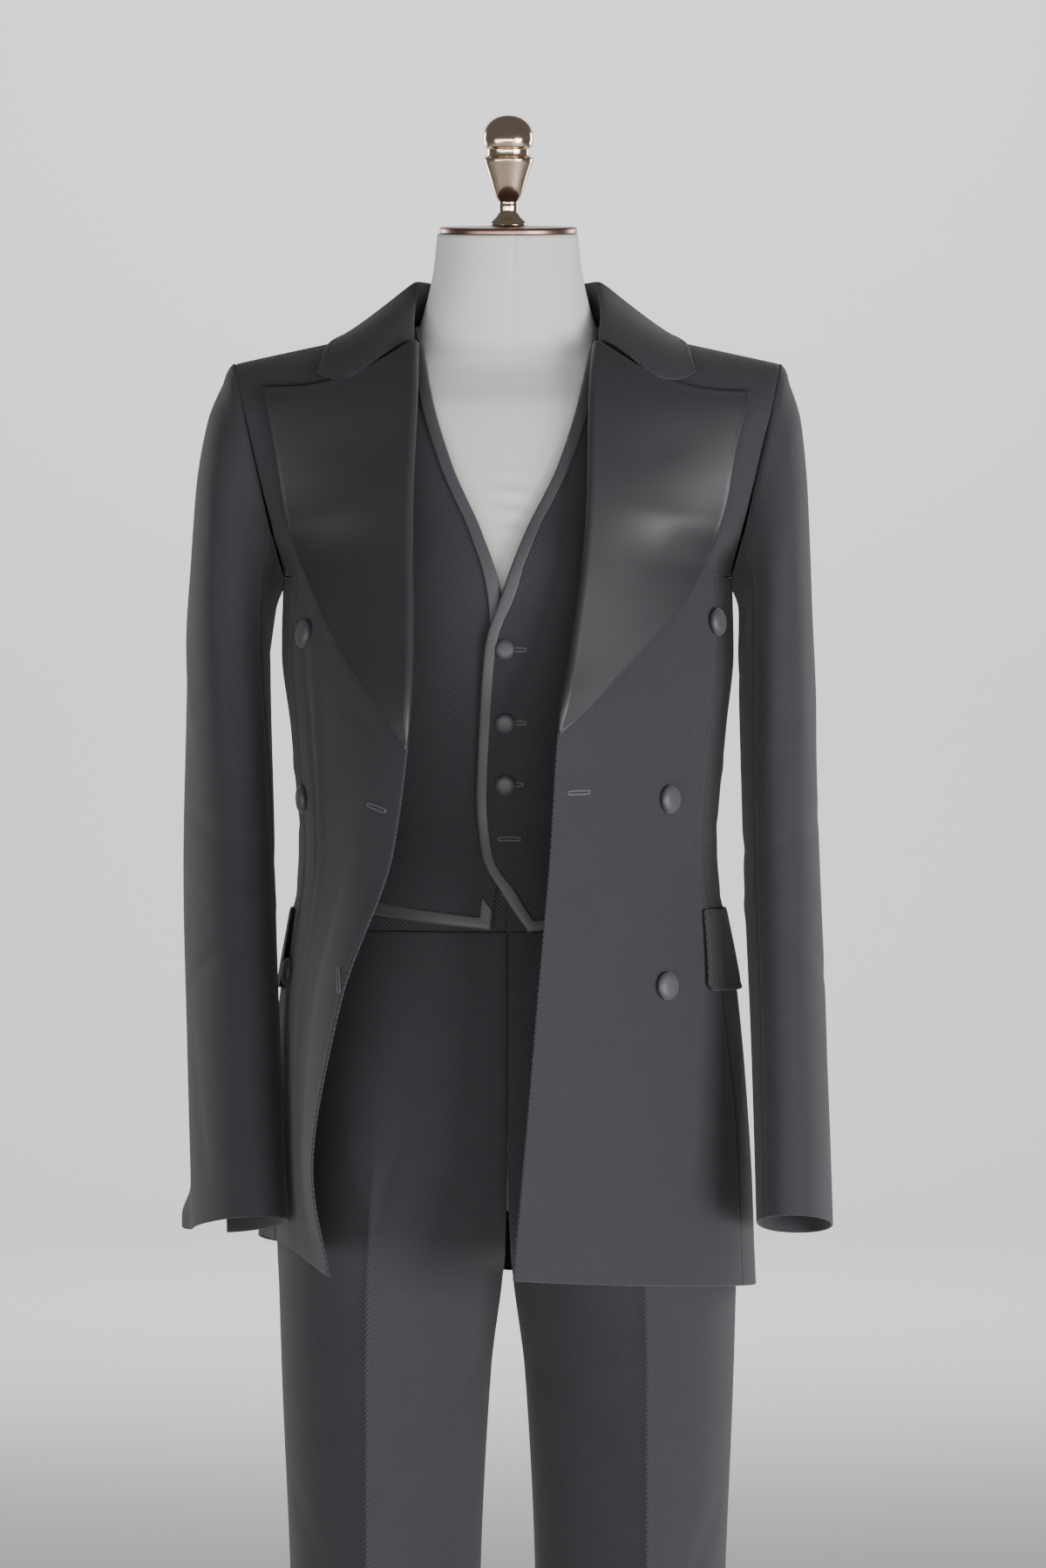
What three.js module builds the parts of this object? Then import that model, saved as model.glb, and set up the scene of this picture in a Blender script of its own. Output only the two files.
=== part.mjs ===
// A three-piece dinner suit on a limbless dress form, in millimetres.
// +Z is up, the front faces -Y, the wearer's left is +X and the origin is on the floor.
// Cloth pieces are thin walls: each one is a grid of points on a worked-out surface,
// moved half the cloth's thickness to either side along the surface's own normal.
import * as THREE from 'three';
import { mergeVertices } from 'three/addons/utils/BufferGeometryUtils.js';

// ---- driving dimensions -------------------------------------------------------------
const CLOTH = 1.6;            // wool twill with its backing
const SATIN = 1.2;            // lapel facing satin
const BINDING = 1.0;          // satin edge binding of the waistcoat
const SEAM_GAP = 0.3;         // between two pieces sewn edge to edge
const LAID_GAP = 0.35;        // between a piece and the panel it lies on

const JACKET_BUTTON = { radius: 10, thickness: 6.5 };
const WAISTCOAT_BUTTON = { radius: 7, thickness: 5 };
const CUFF_BUTTON = { radius: 7, thickness: 4 };
const BINDING_WIDTH = 8;

const SHOULDER_TIP = { x: 203, y: 2, z: 1511 };
const UNDERARM = { x: 165, z: 1353 };
const ARMHOLE_HALF_DEPTH = 58;

const NECK_TILT = THREE.MathUtils.degToRad(8);
const CAP_Z = 1606;
const CAP_Y = -20;
const CAP_RADIUS = 51;
const CAP_HEIGHT = 4.7;

const POLE_X = 84;
const POLE_Y = 12;
const POLE_RADIUS = 14;
const BASE_RADIUS = 205;
const BASE_HEIGHT = 12;
const FORM_BOTTOM = 886;
const TROUSER_HEM = 42;
const WAIST_SEAM = 1090;
const WAIST_TOP = 1131;

// ---- colours ------------------------------------------------------------------------
const material = (color, roughness, metalness = 0) =>
  new THREE.MeshStandardMaterial({ color, roughness, metalness });
const wool = () => material(0x3a3b40, 0.9);
const satin = () => material(0x4a4a50, 0.45);
const linen = () => material(0xcdccc8, 0.95);
const copper = () => material(0x8a5844, 0.35, 1);
const brass = () => material(0xc79a78, 0.2, 1);
const steel = () => material(0x2a2a2c, 0.5, 1);

const suit = new THREE.Group();
function addPiece(name, geometry, finish) {
  const mesh = new THREE.Mesh(geometry, finish);
  mesh.name = name;
  suit.add(mesh);
  return mesh;
}

// ---- tables and curves --------------------------------------------------------------
const lerp = THREE.MathUtils.lerp;
const v3 = (x, y, z) => new THREE.Vector3(x, y, z);

// A table has named columns and one row for each section. Read between the rows, each
// column is a smooth curve over the first column that never swings past its own values.
function table(names, rows) {
  const keys = rows.map((row) => row[0]);
  const rise = (column, i) => (rows[i + 1][column] - rows[i][column]) / (keys[i + 1] - keys[i]);
  const slopeAt = (column, i) => {
    if (i === 0 || i === rows.length - 1) {
      return rise(column, Math.min(i, rows.length - 2));
    }
    const before = rise(column, i - 1);
    const after = rise(column, i);
    return before * after <= 0 ? 0 : (2 * before * after) / (before + after);
  };
  return (key) => {
    let i = 0;
    while (i < rows.length - 2 && key > keys[i + 1]) {
      i += 1;
    }
    const span = keys[i + 1] - keys[i];
    const f = THREE.MathUtils.clamp((key - keys[i]) / span, 0, 1);
    const values = {};
    names.forEach((name, column) => {
      const a = rows[i][column];
      const b = rows[i + 1][column];
      const slopeA = slopeAt(column, i) * span;
      const slopeB = slopeAt(column, i + 1) * span;
      const f2 = f * f;
      const f3 = f2 * f;
      values[name] = (2 * f3 - 3 * f2 + 1) * a + (f3 - 2 * f2 + f) * slopeA
        + (3 * f2 - 2 * f3) * b + (f3 - f2) * slopeB;
    });
    return values;
  };
}

// Headings turn from +X (0) through the front (-Y, 90) to -X (180), seen from above.
function heading(degrees) {
  const angle = THREE.MathUtils.degToRad(degrees);
  return v3(Math.cos(angle), -Math.sin(angle), 0);
}

function bezier(p0, p1, p2, p3, f) {
  const g = 1 - f;
  return v3(0, 0, 0)
    .addScaledVector(p0, g * g * g)
    .addScaledVector(p1, 3 * g * g * f)
    .addScaledVector(p2, 3 * g * f * f)
    .addScaledVector(p3, f * f * f);
}

// A curve from one point to another that leaves and arrives at given headings.
function section(from, fromHeading, fromReach, to, toHeading, toReach, f) {
  const rise = to.z - from.z;
  const p1 = from.clone().addScaledVector(heading(fromHeading), fromReach);
  const p2 = to.clone().addScaledVector(heading(toHeading), -toReach);
  p1.z = from.z + rise / 3;
  p2.z = to.z - rise / 3;
  return bezier(from, p1, p2, to, f);
}

// ---- walls and solids ---------------------------------------------------------------
function solidFrom(positions, indices) {
  const geometry = new THREE.BufferGeometry();
  geometry.setAttribute('position', new THREE.Float32BufferAttribute(positions, 3));
  geometry.setIndex(indices);
  let volume = 0;
  const a = v3(0, 0, 0);
  const b = v3(0, 0, 0);
  const c = v3(0, 0, 0);
  const attribute = geometry.attributes.position;
  for (let i = 0; i < indices.length; i += 3) {
    a.fromBufferAttribute(attribute, indices[i]);
    b.fromBufferAttribute(attribute, indices[i + 1]);
    c.fromBufferAttribute(attribute, indices[i + 2]);
    volume += a.dot(b.cross(c));
  }
  if (volume < 0) {
    for (let i = 0; i < indices.length; i += 3) {
      const swap = indices[i + 1];
      indices[i + 1] = indices[i + 2];
      indices[i + 2] = swap;
    }
    geometry.setIndex(indices);
  }
  return geometry;
}

// A wall over surface(u, v), u and v from 0 to 1: columns run along u and rows along v.
// A wrapped wall closes on itself along u.
function wall(surface, columns, rows, thickness, wrapped = false) {
  const step = 1e-3;
  const across = wrapped ? columns : columns + 1;
  const faces = [[], []];
  for (let j = 0; j <= rows; j += 1) {
    for (let i = 0; i < across; i += 1) {
      const u = i / columns;
      const v = j / rows;
      const u0 = wrapped ? u - step : Math.max(u - step, 0);
      const u1 = wrapped ? u + step : Math.min(u + step, 1);
      const v0 = Math.max(v - step, 0);
      const v1 = Math.min(v + step, 1);
      const alongU = surface(u1, v).sub(surface(u0, v));
      const alongV = surface(u, v1).sub(surface(u, v0));
      const normal = alongU.cross(alongV).normalize();
      const point = surface(u, v);
      faces[0].push(point.clone().addScaledVector(normal, thickness / 2));
      faces[1].push(point.clone().addScaledVector(normal, -thickness / 2));
    }
  }
  const size = across * (rows + 1);
  const positions = [];
  faces.flat().forEach((p) => positions.push(p.x, p.y, p.z));
  const at = (side, i, j) => side * size + j * across + (i % across);
  const indices = [];
  const quad = (a, b, c, d) => indices.push(a, b, c, a, c, d);
  for (let j = 0; j < rows; j += 1) {
    for (let i = 0; i < columns; i += 1) {
      quad(at(0, i, j), at(0, i + 1, j), at(0, i + 1, j + 1), at(0, i, j + 1));
      quad(at(1, i, j), at(1, i, j + 1), at(1, i + 1, j + 1), at(1, i + 1, j));
    }
  }
  for (let i = 0; i < columns; i += 1) {
    quad(at(0, i, 0), at(1, i, 0), at(1, i + 1, 0), at(0, i + 1, 0));
    quad(at(0, i, rows), at(0, i + 1, rows), at(1, i + 1, rows), at(1, i, rows));
  }
  if (!wrapped) {
    for (let j = 0; j < rows; j += 1) {
      quad(at(0, 0, j), at(0, 0, j + 1), at(1, 0, j + 1), at(1, 0, j));
      quad(at(0, columns, j), at(1, columns, j), at(1, columns, j + 1), at(0, columns, j + 1));
    }
  }
  return solidFrom(positions, indices);
}

// A solid lofted through rings of points, closed by a fan at each end.
function loft(ringAt, segments, rings) {
  const positions = [];
  for (let j = 0; j <= rings; j += 1) {
    for (let i = 0; i < segments; i += 1) {
      const p = ringAt(i / segments, j / rings);
      positions.push(p.x, p.y, p.z);
    }
  }
  const centre = (j) => {
    const sum = v3(0, 0, 0);
    for (let i = 0; i < segments; i += 1) {
      sum.add(ringAt(i / segments, j / rings));
    }
    return sum.divideScalar(segments);
  };
  const low = centre(0);
  const high = centre(rings);
  positions.push(low.x, low.y, low.z, high.x, high.y, high.z);
  const lowIndex = segments * (rings + 1);
  const highIndex = lowIndex + 1;
  const indices = [];
  for (let i = 0; i < segments; i += 1) {
    const next = (i + 1) % segments;
    for (let j = 0; j < rings; j += 1) {
      const a = j * segments + i;
      const b = j * segments + next;
      indices.push(a, b, b + segments, a, b + segments, a + segments);
    }
    indices.push(lowIndex, next, i);
    indices.push(highIndex, rings * segments + i, rings * segments + next);
  }
  return solidFrom(positions, indices);
}

// A turned solid about +Z: the profile's [radius, height] points start and end on the axis.
function turned(profile, segments) {
  const geometry = new THREE.LatheGeometry(
    profile.map(([radius, height]) => new THREE.Vector2(radius, height)), segments);
  geometry.rotateX(Math.PI / 2);
  geometry.deleteAttribute('normal');
  geometry.deleteAttribute('uv');
  return mergeVertices(geometry, 1e-3);
}

// The point and outward normal of a surface, for what is sewn on it.
function place(surface, u, v) {
  const step = 1e-3;
  const alongU = surface(u + step, v).sub(surface(u - step, v));
  const alongV = surface(u, v + step).sub(surface(u, v - step));
  return { point: surface(u, v), normal: alongU.cross(alongV).normalize() };
}

// ---- the dress form -----------------------------------------------------------------
// Sections of the form, from its flat bottom to its neck.
const formSection = table(['z', 'halfWidth', 'front', 'back', 'centreY'], [
  [886, 144, 74, 78, 6],
  [900, 153, 80, 88, 4],
  [930, 160, 86, 99, 2],
  [970, 163, 90, 106, 0],
  [1040, 153, 90, 94, 0],
  [1100, 137, 88, 80, 0],
  [1165, 118, 85, 70, 0],
  [1230, 128, 97, 77, 0],
  [1290, 143, 111, 85, 0],
  [1340, 147, 111, 88, 0],
  [1400, 148, 101, 88, 0],
  [1450, 155, 88, 82, 0],
  [1475, 154, 79, 75, 0],
  [1492, 134, 67, 67, 0],
  [1506, 104, 58, 60, 0],
  [1520, 78, 54, 56, 0],
  [1536, 67, 53, 54, -3],
  [1550, 62, 53, 54, -6],
  [1577, 55.5, 52, 53, -13],
  [1606, 52, 50, 50, -20],
]);
const FORM_SQUARENESS = 2.2;

// turn goes from 0 at the centre back through 0.25 at the wearer's left to 0.5 in front.
function onForm(turn, z, ease = 0) {
  const raw = (t, height) => {
    const s = formSection(THREE.MathUtils.clamp(height, FORM_BOTTOM, CAP_Z));
    const angle = t * 2 * Math.PI;
    const power = 2 / FORM_SQUARENESS;
    const sine = Math.sin(angle);
    const cosine = Math.cos(angle);
    const depth = cosine > 0 ? s.back : s.front;
    return v3(Math.sign(sine) * s.halfWidth * Math.abs(sine) ** power,
      s.centreY + Math.sign(cosine) * depth * Math.abs(cosine) ** power, height);
  };
  const point = raw(turn, z);
  if (ease === 0) {
    return point;
  }
  const alongTurn = raw(turn + 2e-3, z).sub(raw(turn - 2e-3, z));
  const alongZ = raw(turn, z + 1).sub(raw(turn, z - 1));
  return point.addScaledVector(alongTurn.cross(alongZ).normalize(), -ease);
}

function buildForm() {
  const heights = [FORM_BOTTOM, 893, 905, 930, 970, 1020, 1070, 1120, 1165, 1210, 1250, 1290,
    1340, 1390, 1430, 1460, 1478, 1492, 1502, 1512, 1522, 1535, 1550, 1577, CAP_Z];
  const rings = heights.length - 1;
  addPiece('form_torso', loft((turn, f) => {
    const z = heights[Math.round(f * rings)];
    const point = onForm(turn, z);
    if (z > 1560) {
      point.z += (point.y - CAP_Y) * Math.tan(NECK_TILT) * (z - 1560) / (CAP_Z - 1560);
    }
    return point;
  }, 26, rings), linen());
}

// The cap and finial stand on the neck, tilted forward with it.
function buildTop() {
  const neck = new THREE.Group();
  neck.position.set(0.5, CAP_Y, CAP_Z + SEAM_GAP);
  neck.rotation.x = NECK_TILT;
  suit.add(neck);
  const cap = new THREE.Mesh(turned([[0, 0], [CAP_RADIUS - 1, 0], [CAP_RADIUS, 1],
    [CAP_RADIUS, CAP_HEIGHT - 1], [CAP_RADIUS - 1.5, CAP_HEIGHT], [0, CAP_HEIGHT]], 32), copper());
  cap.name = 'neck_cap';
  const finial = new THREE.Mesh(turned([[0, 0], [13, 0], [13.2, 2], [12, 4.5], [8, 8], [7, 11],
    [7.5, 15], [7, 18], [8.3, 20], [10, 23], [15, 38], [18.3, 48], [18.8, 50], [15.8, 52],
    [15.8, 57.5], [17.2, 59], [18.6, 62], [18.6, 67], [16.8, 73], [12.5, 78], [6.5, 81],
    [0, 82]], 18), brass());
  finial.name = 'finial';
  finial.position.z = CAP_HEIGHT + SEAM_GAP;
  neck.add(cap, finial);
}

function buildStand() {
  addPiece('base_plate', turned([[0, 0], [BASE_RADIUS - 2, 0], [BASE_RADIUS, 2],
    [BASE_RADIUS, BASE_HEIGHT - 3], [BASE_RADIUS - 3, BASE_HEIGHT], [0, BASE_HEIGHT]], 48), steel());
  const poleBottom = BASE_HEIGHT + SEAM_GAP;
  const plateBottom = FORM_BOTTOM - 6 - SEAM_GAP;
  const pole = addPiece('pole', turned([[0, 0], [POLE_RADIUS + 12, 0], [POLE_RADIUS + 12, 8],
    [POLE_RADIUS, 14], [POLE_RADIUS, plateBottom - SEAM_GAP - poleBottom],
    [0, plateBottom - SEAM_GAP - poleBottom]], 20), steel());
  pole.position.set(POLE_X, POLE_Y, poleBottom);
  const plate = addPiece('hip_plate', turned([[0, 0], [44, 0], [46, 2], [46, 6], [0, 6]], 28), steel());
  plate.position.set(POLE_X, POLE_Y, plateBottom);
}

// ---- the jacket's body --------------------------------------------------------------
// The armhole is one closed curve: 0 at the shoulder tip, 90 in front, 180 underarm.
function armhole(degrees) {
  const angle = THREE.MathUtils.degToRad(degrees);
  const low = Math.cos(angle) < 0;
  const power = low ? 0.75 : 1;
  const depth = Math.sign(Math.sin(angle)) * Math.abs(Math.sin(angle)) ** power;
  const middleX = (SHOULDER_TIP.x + UNDERARM.x) / 2;
  const middleZ = (SHOULDER_TIP.z + UNDERARM.z) / 2;
  return v3(middleX + (SHOULDER_TIP.x - middleX) * Math.cos(angle),
    SHOULDER_TIP.y - ARMHOLE_HALF_DEPTH * depth,
    middleZ + (SHOULDER_TIP.z - middleZ) * Math.cos(angle));
}

// What a row needs of the armhole: how far out, front and rear, and how high.
function armholeAt(degrees) {
  const p = armhole(degrees);
  return [p.x, p.y, 2 * SHOULDER_TIP.y - p.y, p.z];
}

// One row for each height: the centre back, the side (or the armhole, front and rear) and
// the front edge (the roll line above the button). "cut" is where the side seam crosses
// the front, from 0 at the side to 1 at the edge.
const bodyColumns = ['row', 'backX', 'backY', 'backZ', 'backReach', 'arriveH', 'arriveReach',
  'sideX', 'frontY', 'rearY', 'sideZ', 'leaveH', 'leaveReach',
  'edgeX', 'edgeY', 'edgeZ', 'edgeH', 'edgeReach', 'cut'];
const LEFT_BODY = table(bodyColumns, [
  [0, 0, 135, 822, 112, 90, 82, 184.7, 8, 8, 825, 90, 95, 4.6, -172, 846, 157, 70, 0.2],
  [1, 0, 131, 930, 108, 90, 78, 179, 8, 8, 940, 90, 90, 13.5, -172, 945, 156, 70, 0.2],
  [2, 0, 115, 1040, 98, 90, 66, 170.6, 6, 6, 1042, 90, 86, 21.5, -171, 1042, 155, 65, 0.24],
  [3, 0, 87, 1150, 84, 90, 44, 155.5, 4, 4, 1149, 90, 78, 30.7, -170, 1149, 152, 60, 0.26],
  [4, 0, 96, 1236, 88, 90, 50, 162, 4, 4, 1236, 90, 75, 36.4, -168, 1236, 148, 55, 0.26],
  [5, 0, 104, 1300, 92, 90, 54, 168, 4, 4, 1297, 92, 70, 46, -154, 1291, 150, 50, 0.26],
  [6, 0, 106, 1353, 94, 86, 54, 167, 4, 4, 1351, 98, 62, 55, -137, 1355, 155, 50, 0.27],
  [7, 0, 105, 1400, 94, 52, 44, ...armholeAt(126), 122, 45, 59, -122, 1402, 162, 48, 0],
  [8, 0, 98, 1450, 92, 40, 44, ...armholeAt(95), 142, 42, 60.3, -106, 1442, 166, 46, 0],
  [9, 0, 86, 1500, 88, 28, 44, ...armholeAt(65), 154, 42, 61.5, -86, 1482, 170, 45, 0],
  [10, 10, 73, 1541, 80, 14, 44, ...armholeAt(34), 166, 42, 65, -58, 1518, 175, 45, 0],
  [10.5, 55, 55, 1541, 54, 7, 44, ...armholeAt(17), 173, 42, 72, -28, 1532, 178, 43, 0],
  [11, 75, 2, 1539, 42, 0, 42, ...armholeAt(0), 180, 42, 75, 2, 1539, 180, 42, 0],
]);
const RIGHT_BODY = table(bodyColumns, [
  [0, 0, 135, 822, 112, 100, 84, 185, 8, 8, 862, 114, 76, 124.4, -214, 853, 107, 55, 0.16],
  [1, 0, 131, 930, 108, 98, 80, 180, 6, 6, 938, 111, 78, 136, -222, 930, 106, 55, 0.16],
  [2, 0, 115, 1040, 98, 94, 66, 169, 6, 6, 1042, 100, 90, 116.6, -221, 1043, 128, 50, 0.18],
  [3, 0, 87, 1150, 84, 94, 44, 155.5, 4, 4, 1149, 96, 100, 79.5, -209, 1151, 152, 50, 0.2],
  [4, 0, 96, 1236, 88, 90, 50, 161, 4, 4, 1236, 92, 88, 69.3, -194, 1238, 156, 46, 0.22],
  [5, 0, 104, 1300, 92, 90, 54, 168, 4, 4, 1297, 93, 76, 68, -170, 1300, 156, 46, 0.24],
  [6, 0, 106, 1353, 94, 86, 54, 167, 4, 4, 1351, 98, 62, 69, -146, 1355, 158, 48, 0.27],
  [7, 0, 105, 1400, 94, 52, 44, ...armholeAt(126), 122, 45, 69.5, -126, 1402, 164, 46, 0],
  [8, 0, 98, 1450, 92, 40, 44, ...armholeAt(95), 142, 42, 68.6, -107, 1442, 168, 44, 0],
  [9, 0, 86, 1500, 88, 28, 44, ...armholeAt(65), 154, 42, 67.5, -86, 1482, 172, 44, 0],
  [10, 10, 73, 1541, 80, 14, 44, ...armholeAt(34), 166, 42, 67.5, -58, 1518, 176, 44, 0],
  [10.5, 55, 55, 1541, 54, 7, 44, ...armholeAt(17), 173, 42, 72, -28, 1532, 178, 43, 0],
  [11, 75, 2, 1539, 42, 0, 42, ...armholeAt(0), 180, 42, 75, 2, 1539, 180, 42, 0],
]);
const UNDERARM_ROW = 6;
const SHOULDER_ROW = 11;
const SIDE_BACK = 0.78;       // where the side's back seam lies, from 0 at the centre back

// The whole half of the body: around goes 0 at the centre back, 1 at the side, 2 at the edge.
function bodyOf(columns, hand) {
  return (around, row) => {
    const c = columns(row);
    const point = around <= 1
      ? section(v3(Math.max(c.backX, 0.3), c.backY, c.backZ), 0, c.backReach,
        v3(c.sideX, c.rearY, c.sideZ), c.arriveH, c.arriveReach, around)
      : section(v3(c.sideX, c.frontY, c.sideZ), c.leaveH, c.leaveReach,
        v3(c.edgeX, c.edgeY, c.edgeZ), c.edgeH, c.edgeReach, around - 1);
    point.x *= hand;
    return point;
  };
}

// Seam allowances are left off: each panel stops half a seam gap short of its neighbour.
// The hair is the same gap as a share of the way around, about 150 mm to the unit.
const HAIR = (SEAM_GAP / 2 + 0.15) / 150;
const ROW_HAIR = 0.25 / 60;
const RIDGE_HAIR = 1 / 60;    // the shoulder seam is a ridge, so its walls stop further short

function smoothStep(low, high, x) {
  const f = THREE.MathUtils.clamp((x - low) / (high - low), 0, 1);
  return f * f * (3 - 2 * f);
}

// The side ends at the underarm. Just above it the front and back turn out to the armhole.
const UNDERARM_TURN = 0.07;
function frontCut(columns, row) {
  return columns(Math.min(row, UNDERARM_ROW)).cut
    * (1 - smoothStep(UNDERARM_ROW, UNDERARM_ROW + UNDERARM_TURN, row));
}
function backCut(row) {
  return lerp(SIDE_BACK, 1, smoothStep(UNDERARM_ROW, UNDERARM_ROW + UNDERARM_TURN, row));
}

// Steps up a front or back: two for each row, and one more for the turn at the underarm.
const BODY_STEPS = 2 * SHOULDER_ROW + 1;
function rowAt(v) {
  const step = v * BODY_STEPS;
  const turn = 2 * UNDERARM_ROW;
  if (step <= turn) {
    return step / 2;
  }
  if (step <= turn + 1) {
    return UNDERARM_ROW + UNDERARM_TURN * (step - turn);
  }
  if (step <= turn + 2) {
    return UNDERARM_ROW + lerp(UNDERARM_TURN, 0.5, step - turn - 1);
  }
  return Math.min((step - 1) / 2, SHOULDER_ROW - RIDGE_HAIR);
}

function buildBody(side, columns, hand) {
  const body = bodyOf(columns, hand);
  addPiece(`jacket_front_${side}`, wall((u, v) => {
    const row = rowAt(v);
    const from = 1 + frontCut(columns, row) + HAIR;
    return body(lerp(from, 2, u), row);
  }, 8, BODY_STEPS, CLOTH), wool());
  addPiece(`jacket_side_${side}`, wall((u, v) => {
    const row = v * (UNDERARM_ROW - ROW_HAIR);
    return body(lerp(SIDE_BACK + HAIR, 1 + frontCut(columns, row) - HAIR, u), row);
  }, 4, 12, CLOTH), wool());
  addPiece(`jacket_back_${side}`, wall((u, v) => {
    const row = rowAt(v);
    return body(lerp(HAIR, backCut(row) - HAIR, u), row);
  }, 6, BODY_STEPS, CLOTH), wool());
  return body;
}

// ---- lapels, collar, sleeves ---------------------------------------------------------
// Where a surface shows at a given place seen from the front: a few Newton steps.
function seenFromFront(surface, start, x, z) {
  let [u, v] = start;
  for (let turn = 0; turn < 14; turn += 1) {
    const p = surface(u, v);
    const pu = surface(u + 1e-3, v).sub(p).divideScalar(1e-3);
    const pv = surface(u, v + 1e-3).sub(p).divideScalar(1e-3);
    const determinant = pu.x * pv.z - pv.x * pu.z;
    const ex = x - p.x;
    const ez = z - p.z;
    u += THREE.MathUtils.clamp((ex * pv.z - pv.x * ez) / determinant, -0.2, 0.2);
    v += THREE.MathUtils.clamp((pu.x * ez - ex * pu.z) / determinant, -1.5, 1.5);
    u = THREE.MathUtils.clamp(u, 1.02, 1.995);
    v = THREE.MathUtils.clamp(v, 0.02, 10.98);
  }
  return [u, v];
}

// A lapel lies on the front between the roll line and its own outer edge, whose points are
// given as seen from the front. It stands off more at the roll, where the cloth turns.
const LEFT_LAPEL = table(['f', 'outX', 'outZ', 'rollRow'], [
  [0, 37.5, 1234, 3.97],
  [0.14, 60.5, 1256, 4.2],
  [0.3, 96, 1294, 4.95],
  [0.46, 130, 1337, 5.75],
  [0.64, 158, 1402, 7],
  [0.8, 165.5, 1441, 8],
  [0.92, 172.5, 1468, 9],
  [1, 177, 1484.5, 9.96],
]);
const RIGHT_LAPEL = table(['f', 'outX', 'outZ', 'rollRow'], [
  [0, 70.5, 1222, 3.8],
  [0.14, 82, 1242, 4.1],
  [0.3, 110, 1281, 4.9],
  [0.46, 138, 1336, 5.7],
  [0.64, 158.5, 1391, 6.9],
  [0.8, 168, 1440, 8],
  [0.92, 174, 1468, 9],
  [1, 179, 1487.5, 9.96],
]);
const LAPEL_EASE = { left: 1.7, right: 2.15 };
const GORGE_DIP = 13;          // how far the lapel's top edge dips between neck and peak

function buildLapel(side, outline, body, hand) {
  addPiece(`lapel_${side}`, wall((u, v) => {
    const o = outline(v);
    const rollPoint = body(1.995, o.rollRow);
    const x = lerp(rollPoint.x, hand * o.outX, u);
    const z = lerp(rollPoint.z, o.outZ, u) - GORGE_DIP * v * Math.sin(Math.PI * u);
    const [a, r] = seenFromFront(body, [lerp(1.98, 1.4, u), o.rollRow], x, z);
    const seat = place(body, a, r);
    const outward = seat.normal.y < 0 ? 1 : -1;
    const lift = CLOTH / 2 + LAID_GAP + SATIN / 2 + 4.2 * (1 - u) ** 2 + LAPEL_EASE[side];
    return seat.point.addScaledVector(seat.normal, outward * lift);
  }, 5, 10, SATIN), satin());
}

function seat(surface, hand, around, row, lift) {
  const spot = place(surface, around, row);
  return spot.point.addScaledVector(spot.normal, -hand * lift);
}

// The collar: a stand up from the neck edge, a fold, and a fall that lies on the shoulders.
// f runs from the centre back (0) over the shoulder seam (0.6) to the gorge (1).
const COLLAR = table(['f', 'neckRow', 'outAround', 'outRow', 'stand', 'lift', 'lean'], [
  [0, 10.0, 0, 9.3, 37, 3.2, 9],
  [0.3, 10.5, 0.18, 10.1, 36, 3.4, 9],
  [0.6, 11, 0.37, 11, 34, 3.4, 12],
  [0.8, 10.5, 0.46, 10.45, 17, 3.2, 6],
  [1, 10.08, 0.53, 9.70, 2.5, 3.4, 0],
]);
const COLLAR_FOLD = 0.36;
const COLLAR_GORGE_DIP = 0.40;

function leanTowardNeck(point, distance) {
  const inward = v3(-point.x, CAP_Y + 8 - point.y, 0).normalize();
  return point.addScaledVector(inward, distance);
}

function collarPoint(body, hand, f, v) {
  const c = COLLAR(f);
  const rear = f <= 0.6;
  const neckAround = rear ? 0.01 : 1.99;
  const outAround = rear ? c.outAround : 2 - c.outAround;
  const row = Math.min(c.neckRow, 10.99);
  if (v < COLLAR_FOLD) {
    const up = v / COLLAR_FOLD;
    const foot = seat(body, hand, neckAround, row, lerp(0.2, c.lift * 0.55, up));
    foot.z += lerp(1.9, c.stand, up) + 1.2 * up * Math.sin(Math.PI * up);
    return leanTowardNeck(foot, c.lean * up);
  }
  const w = (v - COLLAR_FOLD) / (1 - COLLAR_FOLD);
  const dip = COLLAR_GORGE_DIP * f ** 8 * Math.sin(Math.PI * w ** 1.7);
  const over = seat(body, hand, lerp(neckAround, outAround, w),
    Math.min(lerp(row, c.outRow, w) - dip, 10.99), c.lift + 2.2 * Math.sin(Math.PI * w));
  over.z += c.stand * (1 - w) ** 1.5;
  return leanTowardNeck(over, c.lean * (1 - w) ** 1.5);
}

function buildCollar(bodies) {
  addPiece('collar', wall((u, v) => {
    const hand = u < 0.5 ? -1 : 1;
    return collarPoint(bodies[hand], hand, Math.abs(u - 0.5) * 2, v);
  }, 24, 6, CLOTH), wool());
}

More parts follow.
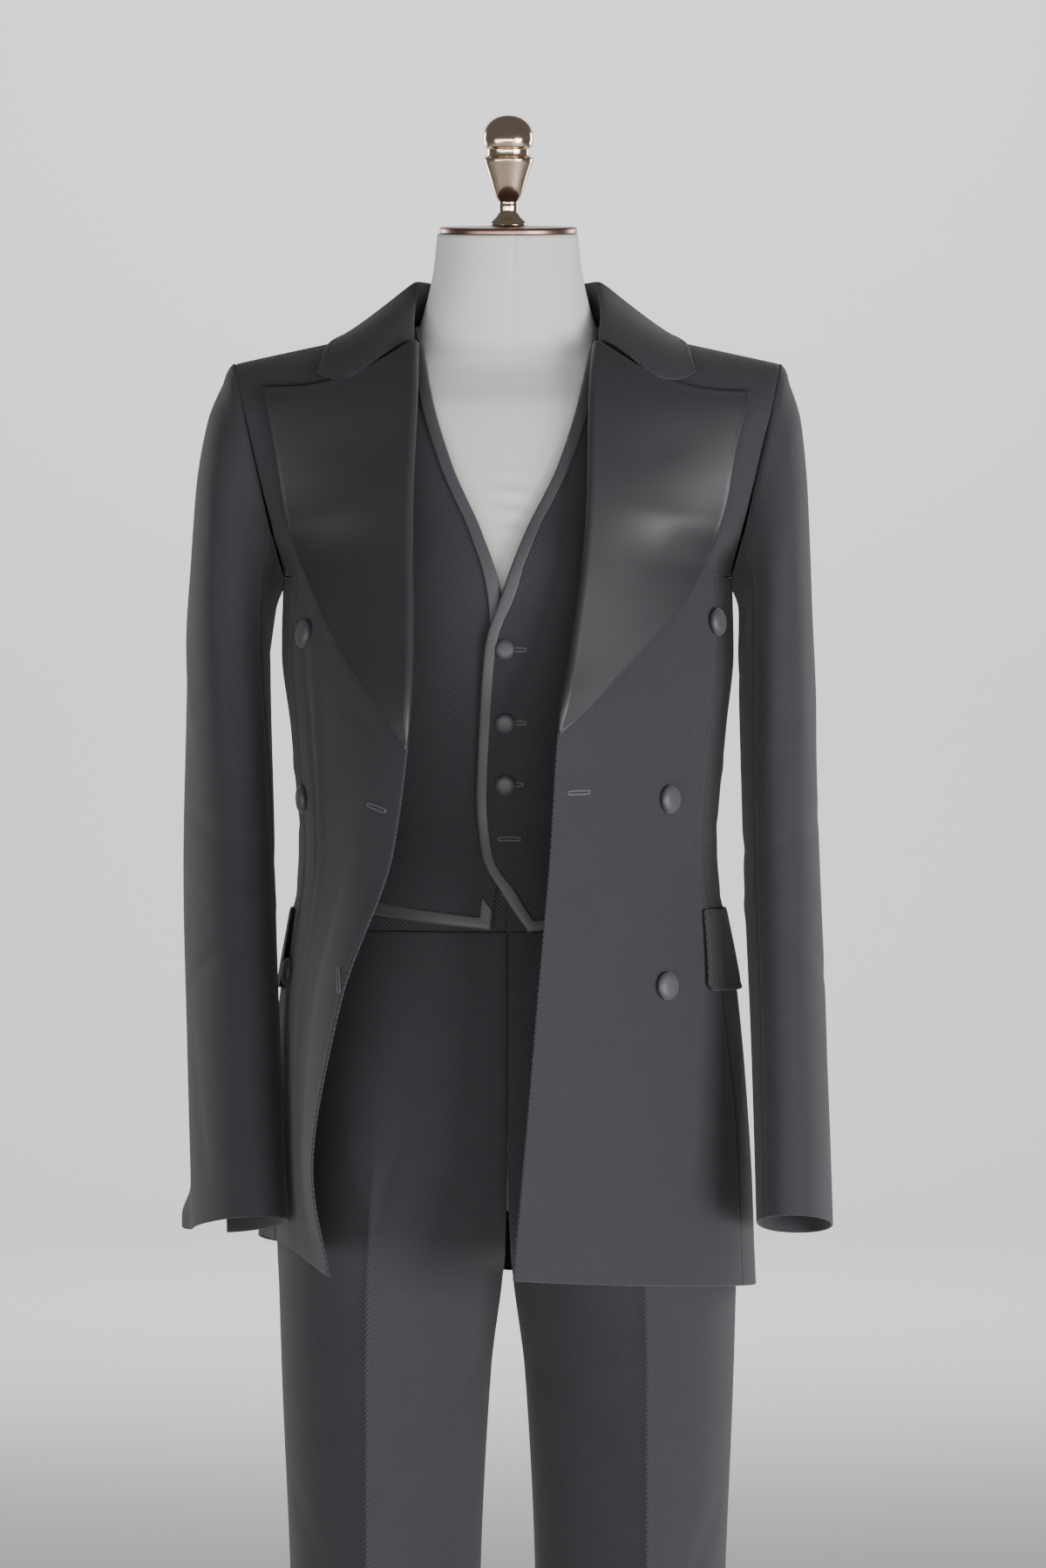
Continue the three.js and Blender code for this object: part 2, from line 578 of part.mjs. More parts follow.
// A sleeve hangs flat from the armhole, its cuff forward of the side. Each row is a ring:
// its centre, half its depth and width, the turn of its flat and how much its outer side
// stands above its inner side.
const sleeveColumns = ['f', 'x', 'y', 'z', 'depth', 'width', 'turn', 'rise', 'pitch'];
const LEFT_SLEEVE = table(sleeveColumns, [
  [0, 210, -72, 877, 60, 27, 7, 0, 0.2],
  [0.28, 207, -46, 1012, 63, 27, 5, 2, 0.17],
  [0.52, 203, -16, 1150, 67, 27.5, 3, 4, 0.1],
  [0.76, 199.5, -2, 1290, 70, 27, 0, 12, 0.04],
  [0.88, 198, 1, 1368, 69, 25, 0, 42, 0],
  [0.95, 194.5, 2, 1406, 65, 24, 0, 62, 0],
  [1, 187.5, 2, 1434, 58, 17, 0, 78, 0],
]);
const RIGHT_SLEEVE = table(sleeveColumns, [
  [0, 195, -76, 877, 60, 27, 26, 0, 0.2],
  [0.28, 202, -46, 1012, 63, 28, 22, 2, 0.17],
  [0.52, 207, -16, 1150, 67, 29, 18, 4, 0.1],
  [0.76, 208, -2, 1290, 70, 30, 7, 12, 0.04],
  [0.88, 203, 1, 1368, 69, 29, 2, 42, 0],
  [0.95, 197, 2, 1406, 65, 26, 0, 62, 0],
  [1, 187.5, 2, 1434, 58, 17, 0, 78, 0],
]);

// turn is 0 at the outer side, 0.25 in front, 0.5 at the inner side, 0.75 behind.
function sleeveOf(rings, hand) {
  const ringAt = (turn, f) => {
    const s = rings(f);
    const angle = turn * 2 * Math.PI;
    const flat = THREE.MathUtils.degToRad(s.turn);
    const out = s.width * Math.sign(Math.cos(angle)) * Math.abs(Math.cos(angle)) ** 0.9;
    const forward = s.depth * Math.sin(angle);
    const x = out * Math.cos(flat) - forward * Math.sin(flat);
    const y = -out * Math.sin(flat) - forward * Math.cos(flat);
    return v3(s.x + x, s.y + y, s.z + s.rise * Math.cos(angle) - y * s.pitch);
  };
  return (turn, f) => {
    const low = (1 - Math.cos(turn * 2 * Math.PI)) / 2;
    const setIn = armhole(turn * 360).add(v3(0.95 + 4 * low, 0, 4 * low)).sub(ringAt(turn, 1));
    const point = ringAt(turn, f).addScaledVector(setIn, smoothStep(0.88, 1, f));
    point.x *= hand;
    return point;
  };
}

const FRONT_SEAM = 0.36;      // the sleeve's two seams, as shares of its way around
const BACK_SEAM = 0.68;
const TUBE_HAIR = 0.35 / 300;

function buildSleeve(side, rings, hand) {
  const sleeve = sleeveOf(rings, hand);
  addPiece(`sleeve_upper_${side}`, wall((u, v) =>
    sleeve(lerp(BACK_SEAM - 1 + TUBE_HAIR, FRONT_SEAM - TUBE_HAIR, u), v), 11, 11, CLOTH), wool());
  addPiece(`sleeve_under_${side}`, wall((u, v) =>
    sleeve(lerp(FRONT_SEAM + TUBE_HAIR, BACK_SEAM - TUBE_HAIR, u), v), 6, 11, CLOTH), wool());
  return sleeve;
}

// ---- buttons and flaps ---------------------------------------------------------------
function coveredButton({ radius, thickness }) {
  return turned([[0, 0], [radius * 0.82, 0], [radius, thickness * 0.4], [radius * 0.9, thickness * 0.75],
    [radius * 0.5, thickness * 0.96], [0, thickness]], 12);
}

// A button stands on a cloth wall: its back is a small gap off the outer face.
function addButton(name, kind, point, outward, finish, bow = 0.15) {
  const button = addPiece(name, coveredButton(kind), finish);
  button.position.copy(point.clone().addScaledVector(outward, CLOTH / 2 + SEAM_GAP + bow));
  button.quaternion.setFromUnitVectors(v3(0, 0, 1), outward);
}

function addBodyButton(name, kind, body, hand, start, x, z) {
  const [a, r] = seenFromFront(body, start, x, z);
  const spot = place(body, a, r);
  addButton(name, kind, spot.point, spot.normal.multiplyScalar(-hand), satin());
}

// A pocket flap lies on the side of the skirt, from in front of the side round behind it.
function buildFlap(side, body, hand, front) {
  addPiece(`pocket_flap_${side}`, wall((u, v) => seat(body, hand,
    lerp(0.72, front - 0.04 * v, u), lerp(2.02 + 0.03 * u, 2.58, v),
    CLOTH + LAID_GAP + 1.8 - 1.2 * v), 8, 2, CLOTH), wool());
}

function buildJacket() {
  const left = buildBody('left', LEFT_BODY, 1);
  const right = buildBody('right', RIGHT_BODY, -1);
  buildLapel('left', LEFT_LAPEL, left, 1);
  buildLapel('right', RIGHT_LAPEL, right, -1);
  buildCollar({ 1: left, '-1': right });
  const sleeves = {
    left: buildSleeve('left', LEFT_SLEEVE, 1),
    right: buildSleeve('right', RIGHT_SLEEVE, -1),
  };
  buildFlap('left', left, 1, 1.34);
  buildFlap('right', right, -1, 1.1);
  addBodyButton('jacket_button_left_top', JACKET_BUTTON, left, 1, [1.4, 5.3], 151.6, 1317);
  addBodyButton('jacket_button_left_waist', JACKET_BUTTON, left, 1, [1.5, 3.5], 115.6, 1187);
  addBodyButton('jacket_button_left_lower', JACKET_BUTTON, left, 1, [1.5, 2.1], 113.6, 1052);
  addBodyButton('jacket_button_right_top', JACKET_BUTTON, right, -1, [1.35, 5.3], -145.5, 1307);
  addBodyButton('jacket_button_right_waist', JACKET_BUTTON, right, -1, [1.45, 3.5], -147, 1187);
  addBodyButton('jacket_button_right_lower', JACKET_BUTTON, right, -1, [1.5, 2.1], -158, 1060);
  [['left', 1], ['right', -1]].forEach(([side, hand]) => {
    for (let i = 0; i < 3; i += 1) {
      const spot = place(sleeves[side], BACK_SEAM - 1 + 0.035, 0.045 + i * 0.04);
      addButton(`cuff_button_${side}_${i + 1}`, CUFF_BUTTON, spot.point,
        spot.normal.multiplyScalar(-hand), satin(), -0.65);
    }
  });
}

// ---- waistcoat -----------------------------------------------------------------------
// The waistcoat follows the form. How far it stands off it eases from the shoulders down.
const waistcoatEase = table(['z', 'ease'], [
  [1085, 8.5], [1130, 7.2], [1165, 6], [1290, 6], [1400, 6], [1480, 5], [1545, 4.5]]);

// Where x on the front or back of a section lies, as a turn about the form.
function turnAt(x, z, rear) {
  const w = formSection(z).halfWidth;
  const share = THREE.MathUtils.clamp(Math.abs(x) / w, 0, 1);
  const turn = Math.asin(share ** (FORM_SQUARENESS / 2)) / (2 * Math.PI);
  return Math.sign(x) * (rear ? turn : 0.5 - turn);
}

// Rows up each front: the inner edge (front edge, then neckline) and the outer edge (side,
// then armhole, then shoulder point), both as seen from the front.
const waistcoatColumns = ['row', 'innerX', 'innerZ', 'outerX', 'outerZ'];
const LEFT_WAISTCOAT = table(waistcoatColumns, [
  [0, 14.8, 1090.6, 136.9, 1116],
  [1, -3.6, 1118.4, 129.5, 1136],
  [2, -17.6, 1146.6, 120.5, 1158],
  [3, -21.3, 1190, 120.8, 1195],
  [4, -19.5, 1240, 130.5, 1242],
  [5, -15.5, 1295, 144.5, 1292],
  [6, -4, 1333, 148, 1332],
  [7, 14, 1380, 143, 1378],
  [8, 37, 1429, 128, 1425],
  [9, 55, 1490, 121, 1475],
  [10, 62, 1535, 119, 1512.5],
]);
const RIGHT_WAISTCOAT = table(waistcoatColumns, [
  [0, 12, 1092, 136.9, 1116],
  [1, 10, 1112, 129.5, 1136],
  [2, 4, 1146.6, 120.5, 1158],
  [3, 0, 1190, 120.8, 1195],
  [4, 1, 1240, 130.5, 1242],
  [5, 2, 1295, 144.5, 1292],
  [6, 6, 1339, 148, 1332],
  [7, 19, 1380, 143, 1378],
  [8, 40, 1429, 128, 1425],
  [9, 57, 1490, 121, 1475],
  [10, 62, 1535, 119, 1512.5],
]);
const WAISTCOAT_BACK = table(waistcoatColumns, [
  [0, 0, 1116, 136.9, 1116],
  [1, 0, 1136, 129.5, 1136],
  [2, 0, 1158, 120.5, 1158],
  [3, 0, 1195, 120.8, 1195],
  [4, 0, 1242, 130.5, 1242],
  [5, 0, 1292, 144.5, 1292],
  [6, 0, 1332, 148, 1332],
  [7, 0, 1380, 143, 1378],
  [8, 0, 1430, 128, 1425],
  [9, 0, 1490, 121, 1475],
  [10, 0, 1528, 119, 1512.5],
]);
const WAISTCOAT_ROWS = 10;
const OVERLAP_LIFT = CLOTH + LAID_GAP + 0.7;

function waistcoatSurface(outline, hand, rear, lift) {
  return (u, v) => {
    const o = outline(v * WAISTCOAT_ROWS);
    const inner = turnAt(o.innerX, o.innerZ, rear);
    const wrapped = inner < 0 ? 1 + inner : inner;
    const outer = turnAt(o.outerX, o.outerZ, rear);
    const side = Math.min(v * WAISTCOAT_ROWS, 10) <= 6 ? 0.25 : outer;
    const turn = lerp(rear ? inner : wrapped, side, u);
    const z = lerp(o.innerZ, o.outerZ, u);
    const over = lift * (1 - smoothStep(0.1, 0.6, u)) * (1 - smoothStep(0.65, 0.75, v));
    return onForm(hand * turn, z, waistcoatEase(z).ease + over);
  };
}

const SIDE_HAIR = 0.0014;
const BINDING_LOW_ROW = 6.25;  // where the right front's binding ends under the left

// A binding lies along a front's edge, mitred at the hem's corner: first down the front
// edge from one row to the corner, then along the hem. across goes inward from the edge.
function bindingOf(surface, outward, topRow, hasEdge, hasHem) {
  const corner = hasEdge && hasHem ? 2 / 3 : (hasEdge ? 1 : 0);
  const spanU = (v) => surface(0.1, v).distanceTo(surface(0, v)) * 10;
  const spanV = (u) => surface(u, 0.06).distanceTo(surface(u, 0)) / 0.06;
  return (along, across) => {
    const onEdge = along < corner || !hasHem;
    const f = onEdge ? along / corner : (along - corner) / (1 - corner);
    const edgeRow = onEdge ? lerp(topRow, hasHem ? 0 : BINDING_LOW_ROW, f) / WAISTCOAT_ROWS : 0;
    const hemU = onEdge ? 0 : f * 0.985;
    const wide = across * BINDING_WIDTH;
    const insetU = wide / spanU(edgeRow);
    const insetV = hasHem ? wide / spanV(hemU) : 0;
    const u = hasEdge ? insetU + (1 - insetU) * hemU : hemU;
    const v = insetV + (1 - insetV) * edgeRow;
    const spot = place(surface, u, v);
    const lift = CLOTH / 2 + LAID_GAP + BINDING / 2 + 0.35;
    return spot.point.addScaledVector(spot.normal, outward * lift);
  };
}

function buildWaistcoat() {
  const fronts = [
    ['left', LEFT_WAISTCOAT, 1, OVERLAP_LIFT],
    ['right', RIGHT_WAISTCOAT, -1, 0],
  ];
  const surfaces = {};
  fronts.forEach(([side, outline, hand, lift]) => {
    const surface = waistcoatSurface(outline, hand, false, lift);
    surfaces[side] = surface;
    addPiece(`waistcoat_front_${side}`, wall((u, v) =>
      surface(u * (1 - SIDE_HAIR * 2.5), v * (1 - SIDE_HAIR)), 8, 16, CLOTH), wool());
  });
  const bindings = [
    ['waistcoat_binding_left', surfaces.left, 9.98, true, true, 24],
    ['waistcoat_binding_neck_right', surfaces.right, 9.98, true, false, 6],
    ['waistcoat_binding_hem_right', surfaces.right, 0, false, true, 8],
  ];
  bindings.forEach(([name, surface, topRow, hasEdge, hasHem, steps]) => {
    const outward = place(surface, 0.3, 0.3).normal.y < 0 ? 1 : -1;
    addPiece(name, wall(bindingOf(surface, outward, topRow, hasEdge, hasHem), steps, 1, BINDING),
      satin());
  });
  const back = waistcoatSurface(WAISTCOAT_BACK, 1, true, 0);
  addPiece('waistcoat_back', wall((u, v) => {
    const hand = u < 0.5 ? -1 : 1;
    const across = Math.abs(u - 0.5) * 2 * (1 - SIDE_HAIR * 2.5);
    const point = back(across, v * (1 - SIDE_HAIR));
    point.x *= hand;
    return point;
  }, 12, 16, CLOTH), wool());
  [[0, 1292], [1, 1246.6], [2, 1202]].forEach(([i, z]) => {
    const row = 5 - (1292 - z) / 50;
    const surface = surfaces.left;
    const v = row / WAISTCOAT_ROWS;
    let u = 0.1;
    for (let turn = 0; turn < 20; turn += 1) {
      u += (-1.5 - surface(u, v).x) / 400;
    }
    const spot = place(surface, u, v);
    const outward = spot.normal.y < 0 ? 1 : -1;
    addButton(`waistcoat_button_${i + 1}`, WAISTCOAT_BUTTON, spot.point,
      spot.normal.multiplyScalar(outward), satin());
  });
  return surfaces;
}

// ---- trousers ------------------------------------------------------------------------
// A leg's sections: outseam, front crease, inner end (the centre front, then the inseam)
// and the back crease and inner end. Headings give the corner at each crease.
const trouserColumns = ['z', 'outX', 'outY', 'creaseX', 'creaseY', 'arriveH', 'leaveH',
  'innerX', 'innerY', 'innerH', 'backCreaseX', 'backCreaseY', 'backArriveH', 'backLeaveH',
  'backInnerX', 'backInnerY', 'backInnerH', 'out'];
const LEG = table(trouserColumns, [
  [42, 149, 14, 100, -66, 140, 212, 32, 13, 268, 100, 94, 42, -32, 32, 15, -88, 92],
  [300, 153, 13, 101, -74, 140, 212, 27, 13, 268, 101, 102, 42, -32, 27, 15, -88, 92],
  [613, 162, 12, 102, -84, 142, 212, 21, 13, 268, 102, 106, 40, -32, 21, 15, -88, 92],
  [760, 168, 10, 102, -92, 148, 206, 13, 13, 266, 102, 104, 36, -28, 13, 15, -88, 92],
  [826, 170, 8, 101, -97, 156, 198, 4.5, 10.5, 262, 100, 105, 28, -20, 4.5, 13.5, -86, 92],
  [856, 171, 7, 100, -100, 162, 192, 1.4, -45, 215, 98, 105, 22, -14, 1.4, 68, -40, 96],
  [900, 171, 6, 98, -100, 168, 186, 0.8, -96, 184, 94, 105, 16, -6, 0.8, 107, -8, 99],
  [960, 170, 4, 92, -97, 168, 176, 0.3, -102, 180, 88, 103, 14, 8, 0.3, 114, 0, 99],
  [1040, 159, 2, 82, -90, 162, 166, 0.2, -100, 180, 78, 93, 20, 14, 0.2, 103, 0, 96],
  [1089, 144, 1, 72, -86, 160, 164, 0.2, -94, 180, 70, 82, 22, 14, 0.2, 89, 0, 92],
]);
const REACH = 0.36;

function trouserOf(hand, rear) {
  return (u, z) => {
    const t = LEG(z);
    const out = v3(t.outX, t.outY, z);
    const crease = rear ? v3(t.backCreaseX, t.backCreaseY, z) : v3(t.creaseX, t.creaseY, z);
    const inner = rear ? v3(t.backInnerX, t.backInnerY, z) : v3(t.innerX, t.innerY, z);
    const outerSpan = out.distanceTo(crease) * REACH;
    const innerSpan = crease.distanceTo(inner) * REACH;
    let point;
    if (rear) {
      point = u < 0.5
        ? section(out, 180 + t.out, outerSpan, crease, 180 + t.backArriveH, outerSpan, u * 2)
        : section(crease, 180 + t.backLeaveH, innerSpan, inner, 180 + t.backInnerH, innerSpan, u * 2 - 1);
    } else {
      point = u < 0.5
        ? section(out, t.out, outerSpan, crease, t.arriveH, outerSpan, u * 2)
        : section(crease, t.leaveH, innerSpan, inner, t.innerH, innerSpan, u * 2 - 1);
    }
    point.x *= hand;
    return point;
  };
}

function buildTrousers() {
  [['left', 1], ['right', -1]].forEach(([side, hand]) => {
    [['front', false], ['back', true]].forEach(([name, rear]) => {
      const surface = trouserOf(hand, rear);
      addPiece(`trouser_${name}_${side}`, wall((u, v) =>
        surface(lerp(0.0018, 0.993, u), lerp(TROUSER_HEM, WAIST_SEAM - SEAM_GAP, v ** 0.8)),
      8, 12, CLOTH), wool());
    });
  });
  const opening = 0.0006;
  addPiece('waistband', wall((u, v) =>
    onForm(lerp(-0.5 + opening, 0.5 - opening, u), lerp(WAIST_SEAM, WAIST_TOP, v),
      lerp(3.6, 3.2, v)), 26, 2, CLOTH), wool());
}

buildForm();
buildTop();
buildStand();
buildJacket();
buildWaistcoat();
buildTrousers();

export default suit;
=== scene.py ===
import math

import bpy
import numpy as np
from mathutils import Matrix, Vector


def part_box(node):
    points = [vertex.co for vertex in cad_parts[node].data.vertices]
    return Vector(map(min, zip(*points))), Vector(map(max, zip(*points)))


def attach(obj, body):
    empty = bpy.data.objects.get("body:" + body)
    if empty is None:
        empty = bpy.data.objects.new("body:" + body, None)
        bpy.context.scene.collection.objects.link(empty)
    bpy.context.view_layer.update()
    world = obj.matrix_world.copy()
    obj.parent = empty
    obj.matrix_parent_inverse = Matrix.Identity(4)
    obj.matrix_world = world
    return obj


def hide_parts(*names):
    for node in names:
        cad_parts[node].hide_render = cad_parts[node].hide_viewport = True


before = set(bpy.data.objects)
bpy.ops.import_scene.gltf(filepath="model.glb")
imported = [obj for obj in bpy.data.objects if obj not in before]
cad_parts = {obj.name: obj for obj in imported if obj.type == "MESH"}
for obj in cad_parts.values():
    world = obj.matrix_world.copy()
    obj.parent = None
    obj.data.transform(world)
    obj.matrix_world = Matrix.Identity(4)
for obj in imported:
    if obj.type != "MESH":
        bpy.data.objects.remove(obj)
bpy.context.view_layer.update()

# A three-piece dinner suit on a limbless dress form. Shapes are worked out in millimetres
# on the same sections as the solids, and made into meshes in metres. The front faces -Y
# and the wearer's left is +X.
MM = 0.001
COARSE = 1.0     # the share of the rows and columns made

CLOTH = 1.6
SATIN = 1.2
BINDING = 1.0
LAID_GAP = 0.35
BINDING_WIDTH = 8

SHOULDER_TIP = (203, 2, 1511)
UNDERARM = (165, 0, 1353)
ARMHOLE_HALF_DEPTH = 58
NECK_TILT = math.radians(8)
CAP_Z = 1606
CAP_Y = -20
FORM_BOTTOM = 886
FORM_GIRTH = 760
POLE_SPOT = (84, 12)                    # inside the left leg
JACKET_BUTTON = (10, 6.5)               # radius and thickness
CUFF_BUTTON = (7, 4)
WAISTCOAT_BUTTON = (7, 5)
TROUSER_HEM = 42
WAIST_SEAM = 1090
WAIST_TOP = 1131
UP = np.array([0.0, 0.0, 1.0])


# ---- tables, curves and surfaces -----------------------------------------------------
def table(names, rows):
    """Named columns, read at any key as smooth curves that never swing past their values."""
    rows = np.array(rows, float)
    keys = rows[:, 0]
    rise = np.diff(rows, axis=0) / np.diff(keys)[:, None]
    before, after = rise[:-1], rise[1:]
    same = before * after > 0
    total = np.where(same, before + after, 1)
    slopes = np.vstack([rise[:1], np.where(same, 2 * before * after / total, 0), rise[-1:]])

    def read(key):
        key = np.asarray(key, float)
        i = np.clip(np.searchsorted(keys, key) - 1, 0, len(keys) - 2)
        span = (keys[i + 1] - keys[i])[..., None]
        f = np.clip((key[..., None] - keys[i][..., None]) / span, 0, 1)
        values = ((2 * f**3 - 3 * f**2 + 1) * rows[i] + (f**3 - 2 * f**2 + f) * slopes[i] * span
                  + (3 * f**2 - 2 * f**3) * rows[i + 1] + (f**3 - f**2) * slopes[i + 1] * span)
        return {name: values[..., n] for n, name in enumerate(names)}

    return read


def lerp(a, b, f):
    return a + (b - a) * f


def smooth(low, high, x):
    f = np.clip((x - low) / (high - low), 0, 1)
    return f * f * (3 - 2 * f)


def bump(x, centre, width):
    return np.exp(-((x - centre) / width) ** 2)


def vec(x, y, z):
    return np.stack(np.broadcast_arrays(x, y, z), -1).astype(float)


def unit(v):
    return v / np.maximum(np.linalg.norm(v, axis=-1, keepdims=True), 1e-9)


def heading(degrees):
    angle = np.radians(degrees)
    return vec(np.cos(angle), -np.sin(angle), 0)


def section(start, leave, leave_reach, end, arrive, arrive_reach, f):
    """A curve from one point to another that leaves and arrives at given headings."""
    rise = end[..., 2] - start[..., 2]
    p1 = start + heading(leave) * np.asarray(leave_reach)[..., None]
    p2 = end - heading(arrive) * np.asarray(arrive_reach)[..., None]
    p1[..., 2] = start[..., 2] + rise / 3
    p2[..., 2] = end[..., 2] - rise / 3
    f = f[..., None]
    g = 1 - f
    return g**3 * start + 3 * g * g * f * p1 + 3 * g * f * f * p2 + f**3 * end


def place(surface, u, v):
    """The point of a surface and its normal there."""
    step = 1e-3
    u, v = np.asarray(u, float), np.asarray(v, float)
    along_u = surface(u + step, v) - surface(u - step, v)
    along_v = surface(u, v + step) - surface(u, v - step)
    return surface(u, v), unit(np.cross(along_u, along_v))


# ---- the dress form ------------------------------------------------------------------
form_section = table(["z", "halfWidth", "front", "back", "centreY"], [
    [886, 144, 74, 78, 6],
    [900, 153, 80, 88, 4],
    [930, 160, 86, 99, 2],
    [970, 163, 90, 106, 0],
    [1040, 153, 90, 94, 0],
    [1100, 137, 88, 80, 0],
    [1165, 118, 85, 70, 0],
    [1230, 128, 97, 77, 0],
    [1290, 143, 111, 85, 0],
    [1340, 147, 111, 88, 0],
    [1400, 148, 101, 88, 0],
    [1450, 155, 88, 82, 0],
    [1475, 154, 79, 75, 0],
    [1492, 134, 67, 67, 0],
    [1506, 104, 58, 60, 0],
    [1520, 78, 54, 56, 0],
    [1536, 67, 53, 54, -3],
    [1550, 62, 53, 54, -6],
    [1577, 55.5, 52, 53, -13],
    [1606, 52, 50, 50, -20],
])
SQUARENESS = 2.2


def form_point(turn, z):
    """turn is 0 at the centre back, 0.25 at the wearer's left and 0.5 in front."""
    s = form_section(np.clip(z, FORM_BOTTOM, CAP_Z))
    sine, cosine = np.sin(turn * 2 * np.pi), np.cos(turn * 2 * np.pi)
    power = 2 / SQUARENESS
    depth = np.where(cosine > 0, s["back"], s["front"])
    return vec(np.sign(sine) * s["halfWidth"] * np.abs(sine) ** power,
               s["centreY"] + np.sign(cosine) * depth * np.abs(cosine) ** power, z)


def on_form(turn, z, ease=0.0):
    along_turn = form_point(turn + 2e-3, z) - form_point(turn - 2e-3, z)
    along_z = form_point(turn, z + 1) - form_point(turn, z - 1)
    return form_point(turn, z) - unit(np.cross(along_turn, along_z)) * np.asarray(ease)[..., None]


# ---- the jacket's surfaces -----------------------------------------------------------
def armhole(degrees):
    """The armhole is a closed curve: 0 at the shoulder tip, 90 in front, 180 underarm."""
    cosine = np.cos(np.radians(degrees))
    sine = np.sin(np.radians(degrees))
    depth = np.sign(sine) * np.abs(sine) ** np.where(cosine < 0, 0.75, 1)
    middle_x = (SHOULDER_TIP[0] + UNDERARM[0]) / 2
    middle_z = (SHOULDER_TIP[2] + UNDERARM[2]) / 2
    return vec(middle_x + (SHOULDER_TIP[0] - middle_x) * cosine,
               SHOULDER_TIP[1] - ARMHOLE_HALF_DEPTH * depth,
               middle_z + (SHOULDER_TIP[2] - middle_z) * cosine)


def armhole_at(degrees):
    """How far out the armhole is, its front and rear, and how high."""
    x, y, z = armhole(degrees)
    return [x, y, 2 * SHOULDER_TIP[1] - y, z]


body_columns = ["row", "backX", "backY", "backZ", "backReach", "arriveH", "arriveReach",
                "sideX", "frontY", "rearY", "sideZ", "leaveH", "leaveReach",
                "edgeX", "edgeY", "edgeZ", "edgeH", "edgeReach", "cut"]
LEFT_BODY = table(body_columns, [
    [0, 0, 135, 822, 112, 90, 82, 184.7, 8, 8, 825, 90, 95, 4.6, -172, 846, 157, 70, 0.2],
    [1, 0, 131, 930, 108, 90, 78, 179, 8, 8, 940, 90, 90, 13.5, -172, 945, 156, 70, 0.2],
    [2, 0, 115, 1040, 98, 90, 66, 170.6, 6, 6, 1042, 90, 86, 21.5, -171, 1042, 155, 65, 0.24],
    [3, 0, 87, 1150, 84, 90, 44, 155.5, 4, 4, 1149, 90, 78, 30.7, -170, 1149, 152, 60, 0.26],
    [4, 0, 96, 1236, 88, 90, 50, 162, 4, 4, 1236, 90, 75, 36.4, -168, 1236, 148, 55, 0.26],
    [5, 0, 104, 1300, 92, 90, 54, 168, 4, 4, 1297, 92, 70, 46, -154, 1291, 150, 50, 0.26],
    [6, 0, 106, 1353, 94, 86, 54, 167, 4, 4, 1351, 98, 62, 55, -137, 1355, 155, 50, 0.27],
    [7, 0, 105, 1400, 94, 52, 44, *armhole_at(126), 122, 45, 59, -122, 1402, 162, 48, 0],
    [8, 0, 98, 1450, 92, 40, 44, *armhole_at(95), 142, 42, 60.3, -106, 1442, 166, 46, 0],
    [9, 0, 86, 1500, 88, 28, 44, *armhole_at(65), 154, 42, 61.5, -86, 1482, 170, 45, 0],
    [10, 10, 73, 1541, 80, 14, 44, *armhole_at(34), 166, 42, 65, -58, 1518, 175, 45, 0],
    [10.5, 55, 55, 1541, 54, 7, 44, *armhole_at(17), 173, 42, 72, -28, 1532, 178, 43, 0],
    [11, 75, 2, 1539, 42, 0, 42, *armhole_at(0), 180, 42, 75, 2, 1539, 180, 42, 0],
])
RIGHT_BODY = table(body_columns, [
    [0, 0, 135, 822, 112, 100, 84, 185, 8, 8, 862, 114, 76, 124.4, -214, 853, 107, 55, 0.16],
    [1, 0, 131, 930, 108, 98, 80, 180, 6, 6, 938, 111, 78, 136, -222, 930, 106, 55, 0.16],
    [2, 0, 115, 1040, 98, 94, 66, 169, 6, 6, 1042, 100, 90, 116.6, -221, 1043, 128, 50, 0.18],
    [3, 0, 87, 1150, 84, 94, 44, 155.5, 4, 4, 1149, 96, 100, 79.5, -209, 1151, 152, 50, 0.2],
    [4, 0, 96, 1236, 88, 90, 50, 161, 4, 4, 1236, 92, 88, 69.3, -194, 1238, 156, 46, 0.22],
    [5, 0, 104, 1300, 92, 90, 54, 168, 4, 4, 1297, 93, 76, 68, -170, 1300, 156, 46, 0.24],
    [6, 0, 106, 1353, 94, 86, 54, 167, 4, 4, 1351, 98, 62, 69, -146, 1355, 158, 48, 0.27],
    [7, 0, 105, 1400, 94, 52, 44, *armhole_at(126), 122, 45, 69.5, -126, 1402, 164, 46, 0],
    [8, 0, 98, 1450, 92, 40, 44, *armhole_at(95), 142, 42, 68.6, -107, 1442, 168, 44, 0],
    [9, 0, 86, 1500, 88, 28, 44, *armhole_at(65), 154, 42, 67.5, -86, 1482, 172, 44, 0],
    [10, 10, 73, 1541, 80, 14, 44, *armhole_at(34), 166, 42, 67.5, -58, 1518, 176, 44, 0],
    [10.5, 55, 55, 1541, 54, 7, 44, *armhole_at(17), 173, 42, 72, -28, 1532, 178, 43, 0],
    [11, 75, 2, 1539, 42, 0, 42, *armhole_at(0), 180, 42, 75, 2, 1539, 180, 42, 0],
])
UNDERARM_ROW = 6
SHOULDER_ROW = 11
SIDE_BACK = 0.78
BODY_HAIR = 0.0004                      # half a seam's gap, as a share of the way around
SLEEVE_HAIR = 0.0006
FRONT_EDGE = 1.995                      # just inside the front's own edge
UNDERARM_TURN = 0.07


